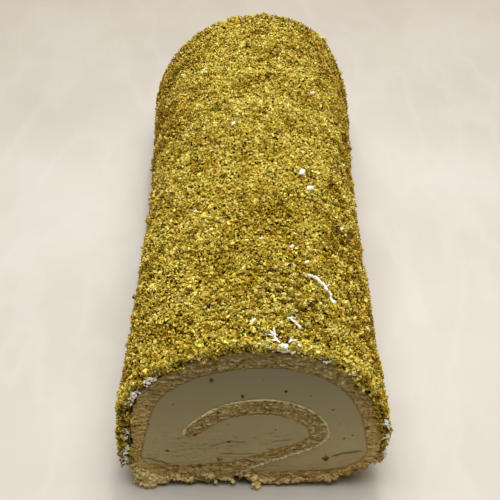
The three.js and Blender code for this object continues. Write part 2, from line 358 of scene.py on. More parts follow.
def tail_columns(sheet):
    """The columns past the sheet's end: the tail's wedge under the turn above it."""
    under = sheet.outer(0.05)[sheet.closing():]
    wedge = under[:int(np.argmax(under[:, 1] < TAIL_EDGE_HEIGHT))]
    base = np.linspace(sheet.outer()[-1, 0], wedge[-1, 0], len(wedge))
    return wedge, stack(base, 0.0)


def sponge_columns(sheet):
    """Outer and inner points of each column of the cut face, and where it lies on the sheet."""
    radius = sheet.half[0]
    tip_s = -radius * np.cos(np.linspace(0.12, 1.45, 9))
    tip_half = np.sqrt(radius ** 2 - tip_s ** 2)
    tip = sheet.at[0] + sheet.along[0] * tip_s[:, None]
    reach = sheet.inward[0] * tip_half[:, None]
    wedge, floor = tail_columns(sheet)
    outer = np.concatenate([tip - reach, sheet.outer(), floor])
    inner = np.concatenate([tip + reach, sheet.inner(), wedge])
    tail_s = sheet.s[-1] + FACE_STEP * np.arange(1, len(wedge) + 1)
    return outer, inner, np.concatenate([tip_s, sheet.s, tail_s])


def sponge_relief(x, z, s, seed):
    """How deep the torn crumb of a cut face lies behind the cut, drawn out sideways by the knife."""
    drawn = 1.2 + 0.9 * smoothstep(s, OUTER_TURN_STARTS, OUTER_TURN_STARTS + 30)
    bent = z + 0.6 * noise((x, z, 15), 3.0, seed + 6) + 0.25 * noise((x, z, 16), 1.1, seed + 8)
    fibres = ridged((x / (1.7 * drawn), bent / 0.85, 0), 1, seed)
    strands = ridged((x / drawn, bent / 0.6, 2), 1, seed + 4)
    grain = 0.22 * noise((x, z, 4), 0.55, seed + 1) + 0.08 * noise((x, z, 7), 6, seed + 2)
    pores = smoothstep(noise((x / 1.3, bent / 0.75, 9), 1, seed + 3), 0.4, 0.85)
    return RELIEF_DEPTH - 0.46 * (fibres ** 3 + strands ** 2) + grain + 0.32 * pores


def worn_edge(s, from_outer, seed):
    """How far the outer edge of the cut is torn back under the crumbs."""
    torn = noise((s, 0, 1), 4.5, seed) + 0.6 * noise((s, 0, 2), 1.6, seed + 1)
    reach = 0.7 + 1.1 * np.maximum(torn, 0)
    return (0.5 + 3.4 * np.maximum(torn, 0)) * smoothstep(from_outer, reach, 0.2 * reach)


def lifted(points, depth):
    """Points of a ring or face with the underside torn up near the near cut."""
    x, z = points[:, 0], points[:, 1]
    fade = 1 - smoothstep(depth, 0.25 * BITE_DEPTH, BITE_DEPTH)
    ragged = 0.55 * noise((x, depth, 3), 1.7, 31) + 0.5 * noise((x, depth, 5), 4.2, 32)
    torn = fade * np.maximum(torn_height(x) + ragged, 0)
    return stack(x, np.maximum(z, np.minimum(torn, z + torn)))


def across(outer, inner):
    """A grid of points from the sheet's outer face to its inner one, row by row."""
    t = np.linspace(-1, 1, FACE_ROWS)[:, None, None]
    return (outer[None] * (1 - t) / 2 + inner[None] * (1 + t) / 2).reshape(-1, 2)


def sponge_face(outer, inner, s, cut, inside, seed):
    """The grid of one cut face, and its marks for the material."""
    flat = across(outer, inner)
    t = np.repeat(np.linspace(-1, 1, FACE_ROWS), len(s))
    half = np.tile(np.linalg.norm(inner - outer, axis=1) / 2, FACE_ROWS)
    s = np.tile(s, FACE_ROWS)
    from_inner = (1 - t) * half
    from_outer = (1 + t) * half
    hook = smoothstep(s, HOOK_ENDS, HOOK_ENDS - 12)
    speckle = noise((s / 1.6, from_inner, 21), 0.7, seed + 9)
    rim = hook * smoothstep(from_outer + 0.5 * speckle, 1.3, 0.5)
    depth = sponge_relief(flat[:, 0], flat[:, 1], s, seed) - 0.35 * rim
    outer_turn = smoothstep(s, OUTER_TURN_STARTS - 8, OUTER_TURN_STARTS)
    depth += outer_turn * worn_edge(s, from_outer, seed + 7)
    if cut == NEAR_CUT:
        flat = lifted(flat, 0.0)
    x, z = flat.T
    points = settled(x, cut, z)
    points[:, 1] += inside * depth
    skin = smoothstep(from_inner + 0.25 * speckle, 0.9, 0.35)
    skin = np.maximum(skin, 0.7 * smoothstep(from_inner, 2.8, 0.8) * smoothstep(speckle, -0.1, 0.5))
    low = smoothstep(z, 17, 8) * smoothstep(s, HOOK_ENDS - 10, HOOK_ENDS + 10)
    left = 0.8 * smoothstep(x, -36, -44) * smoothstep(z, 60, 40)
    right = smoothstep(x, 34, 43) * smoothstep(z, 54, 32)
    return points, {"pit": depth, "skin": skin, "rim": rim, "low": low, "sides": np.maximum(left, right)}


def make_sponge(material):
    """The whole sheet with open crumb at both cuts and a torn lower edge at the near one."""
    outer, inner, s = sponge_columns(Sheet(FACE_STEP))
    near, near_marks = sponge_face(outer, inner, s, NEAR_CUT, 1, 41)
    far, far_marks = sponge_face(outer, inner, s, FAR_CUT, -1, 51)
    edge = border(len(s), FACE_ROWS)
    flat = across(outer, inner)[edge]
    rings = []
    for depth in RING_DEPTHS:
        ring = lifted(flat, depth)
        y = NEAR_CUT + depth + 0.25 * noise((flat[:, 0], flat[:, 1], depth), 2, 61)
        rings.append(settled(ring[:, 0], y, ring[:, 1]))
    cap = grid_faces(len(s), FACE_ROWS)
    sponge = new_log("sponge_sheet", near, rings, far, edge, cap, material, "sponge")
    for mark, values in near_marks.items():
        between = np.tile(values[edge], len(rings))
        give_attribute(sponge, mark, np.concatenate([values, between, far_marks[mark]]))
    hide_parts("sponge")


# ---- Ice cream ----

ICE_STEP = 0.62
ICE_RECESS = 0.3
ICE_SPREAD = 0.18                 # how far the ice cream reaches into the sponge
ICE_RINGS = (-71, -21, 29, 81)    # y of its points between the cuts
# Grooves that the knife dragged into the ice cream: from x, z to x, z, half width, depth.
DRAG_LINES = (
    (-19, 23, -8, 26.5, 0.35, 0.5), (-9.5, 26.5, -2, 25.2, 0.3, 0.5), (-14.5, 18.5, 3, 19.6, 0.35, 0.6),
    (-31, 27, -26, 29.5, 0.4, 0.3), (-38, 30, -28, 27, 0.5, 0.25), (6, 26, 15, 27.4, 0.45, 0.6),
    (30, 17.6, 44, 21.4, 0.5, 0.9), (22, 9.8, 33, 13.0, 0.5, 0.3), (0, 11.4, 16, 12.2, 0.4, 0.3),
    (-20, 32.5, -12, 31, 0.6, 0.2), (-36, 20.5, -30, 20.0, 0.4, 0.3), (-44, 16.4, -33, 12.4, 0.4, 0.7),
)


def ice_outline(sheet, spread):
    """The ice cream's outline at the cut, reaching a little into the sponge."""
    closing = sheet.closing()
    radius = sheet.half[0] - spread
    angles = np.linspace(0, np.pi, 9)[1:-1]
    tip = sheet.at[0] - radius * (
        sheet.inward[0] * np.cos(angles)[:, None] + sheet.along[0] * np.sin(angles)[:, None]
    )
    return np.concatenate([sheet.inner(-spread), sheet.outer(-spread)[:closing][::-1], tip])


def inside_outline(points, outline):
    """Which points lie inside a closed outline."""
    inside = np.zeros(len(points), bool)
    for (x0, z0), (x1, z1) in zip(outline, np.roll(outline, -1, axis=0)):
        crosses = (z0 > points[:, 1]) != (z1 > points[:, 1])
        with np.errstate(divide="ignore", invalid="ignore"):
            meet = x0 + (points[:, 1] - z0) / (z1 - z0) * (x1 - x0)
        inside ^= crosses & (points[:, 0] < meet)
    return inside


def face_points(outline, step):
    """Jittered points over the inside of an outline, clear of its edge."""
    low, high = outline.min(axis=0), outline.max(axis=0)
    x = np.arange(low[0], high[0], step)
    z = np.arange(low[1], high[1], step * 0.87)
    grid = stack(x[None, :] + (np.arange(len(z)) % 2 * step / 2)[:, None], z[:, None]).reshape(-1, 2)
    grid = grid[inside_outline(grid, outline)]
    near = np.array([np.min(np.hypot(*(outline - p).T)) for p in grid])
    return grid[near > step * 0.6]


def line_distance(points, x0, z0, x1, z1):
    """Distance from a line between two points, and the share of the way along it."""
    start = np.array([x0, z0])
    way = np.array([x1 - x0, z1 - z0])
    share = np.clip(((points - start) @ way) / (way @ way), 0, 1)
    return np.linalg.norm(points - start - share[:, None] * way, axis=1), share


def ice_relief(points, seed, grooves):
    """How deep the ice cream's face lies behind the cut."""
    x, z = points.T
    depth = ICE_RECESS + 0.1 * noise((x / 3, z, 0), 4, seed) + 0.03 * noise((x / 3, z, 0), 0.8, seed + 1)
    depth += 0.25 * smoothstep(noise((x, z, 2), 1.0, seed + 2), 0.72, 0.95)
    low = smoothstep(z, 38, 24) * smoothstep(x, 30, 10)
    depth += 0.28 * low * ridged((x / 2.4, z, 5), 1.1, seed + 3) ** 4
    for x0, z0, x1, z1, half_width, cut in grooves:
        wander = points + stack(0, 0.5 * noise((x, 0, x0), 2.2, 71))
        distance, share = line_distance(wander, x0, z0, x1, z1)
        ends = cut * smoothstep(share, 0, 0.15) * smoothstep(share, 1, 0.8)
        depth += 0.8 * ends * smoothstep(distance, half_width * 1.6, 0)
        depth -= 0.4 * ends * smoothstep(np.abs(distance - half_width * 2.2), half_width, 0)
    return depth


def knife_marks(seed, count):
    """Short wavy cracks that the knife left in the lower part, as grooves."""
    rng = np.random.default_rng(seed)
    x = rng.uniform(-38, 20, count)
    z = rng.uniform(15, 32, count)
    length = rng.uniform(1.2, 4.5, count)
    slope = rng.normal(0.05, 0.22, count)
    width = rng.uniform(0.22, 0.4, count)
    cut = rng.uniform(0.12, 0.42, count)
    return np.stack([x, z, x + length, z + slope * length, width, cut], axis=1)


# Where sponge is smeared over the ice cream: from x, z to x, z, half width, strength.
SMEARS = (
    (24, 22.5, 6, 14.2, 2.6, 0.8), (31, 24, 26, 21, 1.6, 0.5), (-43, 17.0, -36, 13.6, 1.2, 0.7),
    (-37, 13.4, -14, 13.4, 1.3, 0.8), (0, 10.6, 38, 13.4, 1.1, 0.7), (30.2, 17.1, 45, 20.7, 0.7, 0.7),
    (-21, 30, -14, 33.5, 1.3, 0.35), (34, 14.4, 44, 17.4, 1.4, 0.8),
)


def smear_share(points):
    total = np.zeros(len(points))
    ragged = 0.5 * noise((points[:, 0] / 2.5, points[:, 1], 8), 0.9, 75)
    for x0, z0, x1, z1, half_width, strength in SMEARS:
        distance, share = line_distance(points, x0, z0, x1, z1)
        total = np.maximum(total, strength * smoothstep(distance / half_width + ragged, 1.2, 0.3))
    return total


def triangulate(outline, inner_points):
    """Points and triangles that fill an outline, and the numbers of the outline's points."""
    coords = [Vector(p) for p in np.concatenate([outline, inner_points])]
    made = delaunay_2d_cdt(coords, [], [list(range(len(outline)))], 1, 1e-5)
    edge = np.empty(len(outline), int)
    for number, sources in enumerate(made[3]):
        for source in sources:
            if source < len(outline):
                edge[source] = number
    return np.array([tuple(v) for v in made[0]]), np.array([f for f in made[2] if len(f) == 3]), edge


def make_ice_cream(material):
    """The ice cream through the whole length, with the knife's marks at both cuts."""
    outline = ice_outline(Sheet(ICE_STEP), ICE_SPREAD)
    points, triangles, edge = triangulate(outline, face_points(outline, ICE_STEP))
    near_depth = ice_relief(points, 81, np.concatenate([DRAG_LINES, knife_marks(82, 46)]))
    far_depth = ice_relief(points, 91, knife_marks(92, 60))
    near = settled(points[:, 0], NEAR_CUT, points[:, 1]) + stack(0, near_depth, 0)
    far = settled(points[:, 0], FAR_CUT, points[:, 1]) - stack(0, far_depth, 0)
    rings = [settled(outline[:, 0], y, outline[:, 1]) for y in ICE_RINGS]
    ice = new_log("ice_cream", near, rings, far, edge, triangles, material, "ice_cream")
    between = np.zeros(len(rings) * len(edge))
    groove = np.concatenate([near_depth - ICE_RECESS, between, far_depth - ICE_RECESS])
    smear = smear_share(points)
    give_attribute(ice, "groove", groove)
    give_attribute(ice, "smear", np.concatenate([smear, between, smear]))
    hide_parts("filling")


# ---- The coat's surface ----

ARCH_STEP = 0.25
ARCH_SHEET = Sheet(ARCH_STEP)
LOWEST = 0.4                      # over the floor
FEET = (LOWEST, LOWEST)           # heights at which the outer face meets the floor


class Arch:
    """The outer face of the sponge, rolled out flat: 0 and the width lie at two heights."""

    def __init__(self, edges):
        part = ARCH_SHEET.arch(edges)
        whole = ARCH_SHEET.arch(FEET)
        self.face = ARCH_SHEET.outer()[whole]
        self.out = -ARCH_SHEET.inward[whole]
        run = np.hypot(*np.diff(self.face, axis=0).T)
        length = np.concatenate([[0], np.cumsum(run)])
        self.length = length - length[part.start - whole.start]
        self.width = self.length[part.stop - 1 - whole.start]

    def flat_point(self, along, height):
        """x and z at the near cut for a length along the arch and a height over the sponge."""
        along = np.asarray(along, float)
        beyond = along - np.clip(along, self.length[0], self.length[-1])
        inside = along - beyond
        rows = (*self.face.T, *self.out.T)
        x, z, out_x, out_z = (np.interp(inside, self.length, row) for row in rows)
        return x + out_x * height + out_z * beyond, z + out_z * height - out_x * beyond

    def point(self, along, y, height):
        """Points at a length along the arch, at y, and at a height over the sponge."""
        x, z = self.flat_point(along, height)
        return settled(x, np.asarray(y, float), np.maximum(z, LOWEST))


CRUMB_ARCH = Arch(CRUMB_EDGE)
CREAM_ARCH = Arch(CREAM_EDGE)
CREAM_ARCH_START = CRUMB_ARCH.length[0] - CREAM_ARCH.length[0]

# Places where cream shows through the crumbs: x, y and half sizes along the arch and the roll.
CREAM_PATCHES = (
    (-39.2, -130.9, 1.3, 0.9), (-44.8, -130.9, 1.1, 1.0), (10.2, -129.3, 3.0, 2.2),
    (13.2, -128.0, 1.4, 1.2), (2.4, -130.8, 0.9, 0.8), (21.6, -88.3, 1.8, 0.7),
    (25.6, -89.9, 1.9, 1.0), (27.9, -93.0, 0.8, 1.8), (29.6, -98.2, 0.9, 1.4), (22.3, -16.3, 1.7, 2.1),
    (25.1, -26.2, 1.8, 1.7), (15.5, -72.0, 0.9, 0.9), (3.7, -68.5, 0.7, 0.6), (36.6, -46.3, 0.7, 0.8),
    (0.2, -118.6, 0.9, 0.8), (21.0, -80.3, 0.8, 0.8), (-24.5, -40.3, 0.6, 0.6), (-9, 22, 1.0, 1.2),
    (31, 61, 0.9, 1.2), (-26, 84, 1.1, 0.9), (-52.5, 20, 0.9, 1.3), (53, -20, 0.9, 1.2),
)


UPPER_PART = 30                   # height over which each x is met once on the arch's top
ROUGH_PLACE = (11.5, -104)        # x, y of the lumpiest stretch of the coat
ROUGH_REACH = (15, 20)


def arch_length_at(x):
    """How far along the crumb arch its upper part reaches a given x."""
    upper = CRUMB_ARCH.face[:, 1] > UPPER_PART
    return np.interp(x - CENTRE_X, CRUMB_ARCH.face[upper, 0], CRUMB_ARCH.length[upper])


PATCHES = [(arch_length_at(x), y, half_along, half_y) for x, y, half_along, half_y in CREAM_PATCHES]
ROUGH_CENTRE = (arch_length_at(ROUGH_PLACE[0]), ROUGH_PLACE[1])
NEAR_END = 131                    # seeds of the coat's ends at the cuts
FAR_END = 141
LEFT_EDGE = 111                   # and of its lower edges
RIGHT_EDGE = 121
EDGE_FEET = {LEFT_EDGE: 4.5, RIGHT_EDGE: 3.5}  # how far each comes down at the near cut


def coat_thickness(along):
    share = np.clip(along / CRUMB_ARCH.width, 0, 1)
    mean = CRUMB_THICKNESS[0] * (1 - share) + CRUMB_THICKNESS[1] * share
    return mean - 1.1 * smoothstep(share, 0.74, 0.9)


def patch_share(along, y):
    """1 in the middle of a patch of bare cream, 0 outside them all."""
    total = np.zeros(np.shape(along))
    for centre, centre_y, half_along, half_y in PATCHES:
        reach = np.hypot((along - centre) / half_along, (y - centre_y) / half_y)
        total = np.maximum(total, smoothstep(reach, 1.25, 0.75))
    return total


def roughness(along, y):
    """1 where the coat is lumpiest, near 0 elsewhere."""
    away = np.array([(along - ROUGH_CENTRE[0]) / ROUGH_REACH[0], (y - ROUGH_CENTRE[1]) / ROUGH_REACH[1]])
    return np.exp(-(away ** 2).sum(axis=0))


def coat_lumps(along, y):
    """Round lumps with sharp creases between them, from about -0.5 to 0.5."""
    round_tops = np.sqrt(np.abs(noise((along, y, 0), 3.1, 103)))
    small_tops = np.sqrt(np.abs(noise((along, y, 0), 1.9, 106)))
    return 0.65 * round_tops + 0.35 * small_tops - 0.5


def coat_relief(along, y):
    """Lumps and hollows of the crumb coat over its mean height."""
    rough = roughness(along, y)
    broad = 0.55 * noise((along, y, 0), 13, 101) + 0.55 * noise((along, y, 0), 6.5, 102)
    lumps = (1.7 + 1.9 * rough) * coat_lumps(along, y)
    hollows = (0.8 + 1.4 * rough) * smoothstep(noise((along, y, 0), 5.5, 104), 0.35, 0.8)
    return broad + lumps - hollows - 1.2 * patch_share(along, y)


def coat_end(along, seed):
    """How far past the cut the coat reaches, or short of it where that is negative."""
    return 0.1 + 0.7 * noise((along, 0, 0), 5, seed) + 0.7 * noise((along, 0, 0), 1.9, seed + 1)


def edge_wander(y, seed):
    """How far a lower edge of the coat wanders up the side, less at the near cut."""
    foot = EDGE_FEET[seed] * np.exp(-((y - NEAR_CUT) / 22) ** 2)
    return 2.2 + 1.8 * noise((0, y, 0), 17, seed) + 1.2 * noise((0, y, 0), 5, seed + 1) - foot


def inside_edges(along, y):
    """How far a place lies inside the nearer of the coat's lower edges."""
    left = along - edge_wander(y, LEFT_EDGE)
    return np.minimum(left, CRUMB_ARCH.width - along - edge_wander(y, RIGHT_EDGE))


COAT_COLUMNS = 216
COAT_ROWS = 301
BED_DEPTH = 1.25                  # how far the bed lies under the crumbs' mean height
BED_INSET = 0.8                   # and inside their edges
BED_ROUNDING = (40, 60)           # 1 over the share of the bed in which its edges come down


def make_coat_base(material):
    """The bed of fine crumbs that the larger crumbs lie in."""
    share, y_share = grid_shares(COAT_COLUMNS, COAT_ROWS)
    nominal_y = NEAR_CUT + ROLL_LENGTH * y_share
    start = edge_wander(nominal_y, LEFT_EDGE) + BED_INSET
    end = CRUMB_ARCH.width - edge_wander(nominal_y, RIGHT_EDGE) - BED_INSET
    along = start + (end - start) * share
    reach_near = coat_end(along, NEAR_END) - BED_INSET
    reach_far = coat_end(along, FAR_END) - BED_INSET
    y = NEAR_CUT - reach_near + (ROLL_LENGTH + reach_near + reach_far) * y_share
    height = COAT_BASE + coat_thickness(along) - BED_DEPTH + coat_relief(along, y)
    height += 0.4 * noise((along, y, 0), 1.6, 151)
    from_sides = np.minimum(share, 1 - share) * BED_ROUNDING[0]
    from_ends = np.minimum(y_share, 1 - y_share) * BED_ROUNDING[1]
    rounding = np.minimum(from_sides, from_ends)
    foot = COAT_BASE - 0.8
    rounded = np.maximum(foot + (height - foot) * np.sqrt(np.clip(rounding, 0, 1)), foot - 0.1)
    covered = np.maximum(height, COAT_BASE - 0.2 - patch_share(along, y))
    top = CRUMB_ARCH.point(along, y, np.where(rounding < 1, rounded, covered))
    bottom = CRUMB_ARCH.point(along, y, GAP)
    bed = new_shells("crumb_bed", [(top, bottom, COAT_COLUMNS, COAT_ROWS)], material, "nut_crumbs")
    tints = crumb_tints(np.random.default_rng(152), along, y)
    # Darker where the coat is roughest: painted shade in its deep hollows.
    give_attribute(bed, "tint", tints * (1 - 0.6 * roughness(along, y)))
    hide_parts("crumb_coat")


# ---- The sponge's bare sides ----

SKIN_STEP = 0.85
SKIN_TOPS = (16, 23)              # heights up to which the sides are modelled, left, right
SKIN_SHORT = 1.5                  # how far the skin stays behind the cuts
SKIN_HEIGHT = 0.42                # over the sheet, on average
SKIN_BOTTOM = -0.4
FOOT_ARCH = Arch(FEET)


def skin_strip(start, width):
    """One side's open crumb: its top and bottom points, columns and rows, and its tints."""
    length = ROLL_LENGTH - 2 * SKIN_SHORT
    columns = int(width / SKIN_STEP) // COARSER * COARSER + 1
    rows = int(length / SKIN_STEP) // COARSER * COARSER + 1
    share, y_share = grid_shares(columns, rows)
    along = start + width * share
    y = NEAR_CUT + SKIN_SHORT + length * y_share
    relief = 0.25 * noise((along, y, 0), 4, 191) + 0.3 * noise((along, y, 0), 1.7, 192)
    relief -= 0.55 * smoothstep(noise((along, y, 0), 1.5, 193), 0.3, 0.7)
    relief = np.where((y_share == 0) | (y_share == 1), SKIN_BOTTOM - SKIN_HEIGHT, relief)
    grids = []
    for height in (SKIN_HEIGHT + relief, SKIN_BOTTOM):
        raised = lifted(stack(*FOOT_ARCH.flat_point(along, height)), y - NEAR_CUT)
        grids.append(settled(raised[:, 0], y, np.maximum(raised[:, 1], 0.1)))
    # The tints run browner where the relief lies low: painted shade in the pores.
    return (*grids, columns, rows), 0.5 - 1.1 * relief + 0.3 * noise((along, y, 3), 7, 194)


def make_sponge_skin(material):
    """The open crumb of the sponge's sides below the cream, as two shells over the sheet."""
    above = Arch(SKIN_TOPS)
    left = -above.length[0]
    right = FOOT_ARCH.width - left - above.width
    strips, tints = zip(skin_strip(0, left), skin_strip(FOOT_ARCH.width - right, right))
    skin = new_shells("sponge_skin", strips, material, "sponge")
    give_attribute(skin, "tint", np.concatenate(tints))


# ---- Crumbs ----


def arrays_of(work):
    """The points and triangles of a finished bmesh."""
    work.verts.index_update()
    vertices = np.array([tuple(v.co) for v in work.verts])
    triangles = np.array([[v.index for v in f.verts] for f in work.faces])
    work.free()
    return vertices, triangles


def fragment(rng, corners):
    """One broken bit of nut about 1 across: the hull of a few random points."""
    work = bmesh.new()
    squash = (1.1, rng.uniform(0.8, 1.1), rng.uniform(0.65, 1.0))
    for _ in range(corners):
        point = rng.normal(size=3)
        work.verts.new(unit(point) * rng.uniform(0.4, 0.6) * squash)
    hull = bmesh.ops.convex_hull(work, input=work.verts)
    bmesh.ops.delete(work, geom=hull["geom_interior"], context="VERTS")
    bmesh.ops.triangulate(work, faces=work.faces)
    return arrays_of(work)


def random_turns(rng, count):
    """Random rotations, as matrices."""
    w, x, y, z = unit(rng.normal(size=(count, 4))).T
    rows = [
        1 - 2 * (y * y + z * z), 2 * (x * y - z * w), 2 * (x * z + y * w),
        2 * (x * y + z * w), 1 - 2 * (x * x + z * z), 2 * (y * z - x * w),
        2 * (x * z - y * w), 2 * (y * z + x * w), 1 - 2 * (x * x + y * y),
    ]
    return np.stack(rows, axis=1).reshape(count, 3, 3)


def scatter(name, rng, places, sizes, detail, material, slot, shapes=10, shape_of=fragment, tints=None):
    """One mesh of many bits, each turned, sized and placed, with a tint of its own."""
    made = [shape_of(rng, detail) for _ in range(shapes)]
    turns = random_turns(rng, len(places))
    stretch = sizes.reshape(len(places), -1) * rng.uniform(0.78, 1.22, (len(places), 3))
    tint = rng.uniform(0, 1, len(places)) if tints is None else tints
    kind = rng.integers(shapes, size=len(places))
    all_points = []
    all_faces = []
    all_tints = []
    count = 0
    for number, (vertices, triangles) in enumerate(made):
        mine = kind == number
        turned = np.einsum("nij,nvj->nvi", turns[mine], vertices * stretch[mine][:, None])
        first = count + np.arange(len(turned)) * len(vertices)
        all_points.append((turned + places[mine][:, None]).reshape(-1, 3))
        all_faces.append((triangles + first[:, None, None]).reshape(-1, 3))
        all_tints.append(np.repeat(tint[mine], len(vertices)))
        count += len(all_points[-1])
    smooth = shape_of is crumb_lump
    bits = new_object(name, np.concatenate(all_points), np.concatenate(all_faces), material, slot, smooth)
    give_attribute(bits, "tint", np.concatenate(all_tints))
    return bits


def coat_places(rng, count, sink, cluster_seed, cluster_bias, rough_bias):
    """Places along and over the coat, and heights, thinning out past its wandering edges."""
    picked = []
    needed = count
    while needed > 0:
        tries = int(needed * 1.6) + 50
        along = rng.uniform(-BEYOND_EDGE, CRUMB_ARCH.width + BEYOND_EDGE, tries)
        y = rng.uniform(NEAR_CUT - 1.2, FAR_CUT + 1.2, tries)
        side = inside_edges(along, y)
        near = y - NEAR_CUT + coat_end(along, NEAR_END)
        far = FAR_CUT - y + coat_end(along, FAR_END)
        rough = roughness(along, y)
        clusters = noise((along, y, 0), CLUSTER_SIZE, cluster_seed) - 0.4
        bare = CLUMPED_BARE * rough * (rough_bias < CLUMPS_BIAS)
        share = np.maximum(smoothstep(side, -3.5, 0.6) ** 2, SPILLED * smoothstep(side, -13, -3))
        keep = (np.minimum(near, far) > 0) & (rng.uniform(size=tries) < share)
        keep &= rng.uniform(size=tries) > 0.86 * patch_share(along, y)
        keep &= rng.uniform(size=tries) < 1 - rough_bias * (1 - rough)
        keep &= rng.uniform(size=tries) > bare
        keep &= rng.uniform(-1, 1, tries) < 1 + cluster_bias * clusters
        picked.append(np.stack([along[keep], y[keep]], axis=1))
        needed -= int(keep.sum())
    along, y = np.concatenate(picked)[:count].T
    body = smoothstep(inside_edges(along, y), -1.5, 1.5)
    height = COAT_BASE + (coat_thickness(along) + coat_relief(along, y)) * body + 0.3 * (1 - body)
    height = np.maximum(height, COAT_BASE - 0.2) + sink - 0.45 + rng.normal(0, 0.22, len(along))
    creamed = np.abs(along - CREAM_ARCH_START - CREAM_ARCH.width / 2) < CREAM_ARCH.width / 2 - 2
    return along, y, np.where(creamed, height, ON_SPONGE)


def rim_places(rng, count, cut, inside, seed):
    """Places and heights in the section of the coat at a cut, some hanging over the sponge's edge."""
    along = rng.uniform(-3, CRUMB_ARCH.width + 1, count)
    hang = noise((along, 0, 0), 4.2, seed + 3) + 0.6 * noise((along, 0, 0), 1.7, seed + 4)
    hang += 0.8 * smoothstep(along / CRUMB_ARCH.width, 0.62, 0.74)
    out = rng.uniform(-1.3, 0.5, count)
    y = cut - inside * (coat_end(along, seed) + out)
    keep = patch_share(along, y) < 0.4
    along, y, hang = along[keep], y[keep], hang[keep]
    full = coat_thickness(along) + coat_relief(along, y)
    lowest = 0.4 - 1.8 * np.maximum(hang, -0.5)
    height = lowest + np.maximum(COAT_BASE + full - 0.4 - lowest, 0.4) * rng.uniform(0, 1, len(along))
    y = np.where(height < 0.3, cut - inside * rng.uniform(0.1, 1.1, len(y)), y)
    return along, y, height


def crumb_tints(rng, along, y):
    """Tints of light and dark crumbs with broad lighter stretches; painted shade down the sides and in
    creases.
    """
    flat = stack(along, y, 0)
    broad = 0.14 * noise(flat, 19, 107) + 0.32 * noise(flat, 7, 108)
    side = 2 * along / CRUMB_ARCH.width - 1
    near = np.exp(-((y - NEAR_CUT) / 25) ** 2)
    # Painted shade: darker down the flanks, less so close to the near cut, and a little darker off the
    # middle.
    painted_side_shade = 0.14 - 0.42 * (1 - near) * smoothstep(np.abs(side), 0.3, 0.85) - 0.16 * np.abs(side)
    # The lumps' height tints each crumb: lighter on their tops, darker in the creases, as painted light and
    # shade.
    own = rng.normal(0, 0.26, len(along)) + 0.85 * coat_lumps(along, y)
    return np.clip(0.6 + painted_side_shade + broad + own, 0, 1)


CLUSTER_SIZE = 8
BEYOND_EDGE = 12                  # how far round the sides from the coat's lower edges crumbs are spilled
SPILLED = 0.09                    # how many are spilled there, for each one over as much of the coat
ON_SPONGE = 0.6                   # their height over the bare sponge
RIM_SHARE = 0.07                  # crumbs in the coat's section at each cut, for each one over the coat

# Name, how many, corners, smallest and largest size, how far they stand up, and how much they keep to
# clusters and to the roughest part.
CRUMB_KINDS = (
    ("crumbs_gold_coarse", 6000, 9, 1.0, 2.1, -0.05, 0.4, 0.5),
    ("crumbs_gold_mid", 14500, 8, 0.8, 1.6, -0.05, 0.3, 0),
    ("crumbs_gold_fine", 22000, 6, 0.55, 1.15, 0.05, 0.2, 0),
    ("crumbs_olive_coarse", 6000, 9, 0.9, 2.1, -0.25, 0.8, 0.2),
    ("crumbs_green_fine", 7000, 7, 0.6, 1.4, -0.1, 1.0, 0),
    ("crumbs_toasted", 1300, 8, 0.8, 1.7, -0.05, 1.0, 0.3),
    ("crumbs_skins", 7000, 6, 0.6, 1.4, -0.1, 1.0, 0),
)
CLUMP_COUNT = 270                 # damp clumps, each with small crumbs all over it
CLUMP_SIZES = (1.7, 3.9)
CLUMP_CRUMBS = 18
CLUMPS_BIAS = 0.97                # how much the clumps keep to the roughest part
CLUMPED_BARE = 0.35               # share of loose crumbs missing between them


def make_crumbs(materials):
    """The loose crumbs, a mesh for each kind."""
    for number, (name, count, corners, small, large, sink, bias, rough) in enumerate(CRUMB_KINDS):
        rng = np.random.default_rng(200 + number)
        rim = int(count * RIM_SHARE)
        along, y, height = np.concatenate([
            coat_places(rng, count, sink, 160 + number, bias, rough),
            rim_places(rng, rim, NEAR_CUT, 1, NEAR_END),
            rim_places(rng, rim, FAR_CUT, -1, FAR_END),
        ], axis=1)
        sizes = small + (large - small) * rng.uniform(0, 1, len(along)) ** 1.8
        tints = crumb_tints(rng, along, y)
        points = CRUMB_ARCH.point(along, y, height)
        scatter(name, rng, points, sizes, corners, materials[name], "nut_crumbs", tints=tints)


def make_clumps(material):
    """Damp clumps in the coat's lumpiest part: a soft core with small crumbs stuck all over it."""
    rng = np.random.default_rng(250)
    centres = CRUMB_ARCH.point(*coat_places(rng, CLUMP_COUNT, 0.3, 170, 0.6, CLUMPS_BIAS))
    small, large = CLUMP_SIZES
    sizes = small + (large - small) * rng.uniform(0, 1, CLUMP_COUNT) ** 1.5
    tints = np.clip(rng.normal(0.5, 0.25, CLUMP_COUNT), 0, 1)
    scatter("clump_cores", rng, centres, 0.6 * sizes, 1, material, "nut_crumbs", 12, crumb_lump, 0.5 * tints)
    count = CLUMP_COUNT * CLUMP_CRUMBS
    way = unit(rng.normal(size=(count, 3)))
    reach = 0.44 * np.repeat(sizes, CLUMP_CRUMBS) * rng.uniform(0.85, 1.1, count)
    places = np.repeat(centres, CLUMP_CRUMBS, axis=0) + way * reach[:, None]
    # Crumbs on a clump's upper side are lighter: painted light from above.
    own = np.clip(np.repeat(tints, CLUMP_CRUMBS) + rng.normal(0.04, 0.14, count) + 0.22 * way[:, 2], 0, 1)
    scatter("clump_crumbs", rng, places, rng.uniform(0.6, 1.35, count), 8, material, "nut_crumbs", tints=own)


# ---- Cream ----

FILM_COLUMNS = 206
FILM_ROWS = 221
STRAND_SIDES = 6
SPURS = 4                         # sharp little peaks on each strand of cream
CREAM_VOXEL = 0.15


def cream_edge(y, seed):
    """How far the film's lower edge wanders up the side."""
    return 1.8 + 1.5 * noise((0, y, 0), 11, seed) + 0.9 * noise((0, y, 0), 3.4, seed + 1)


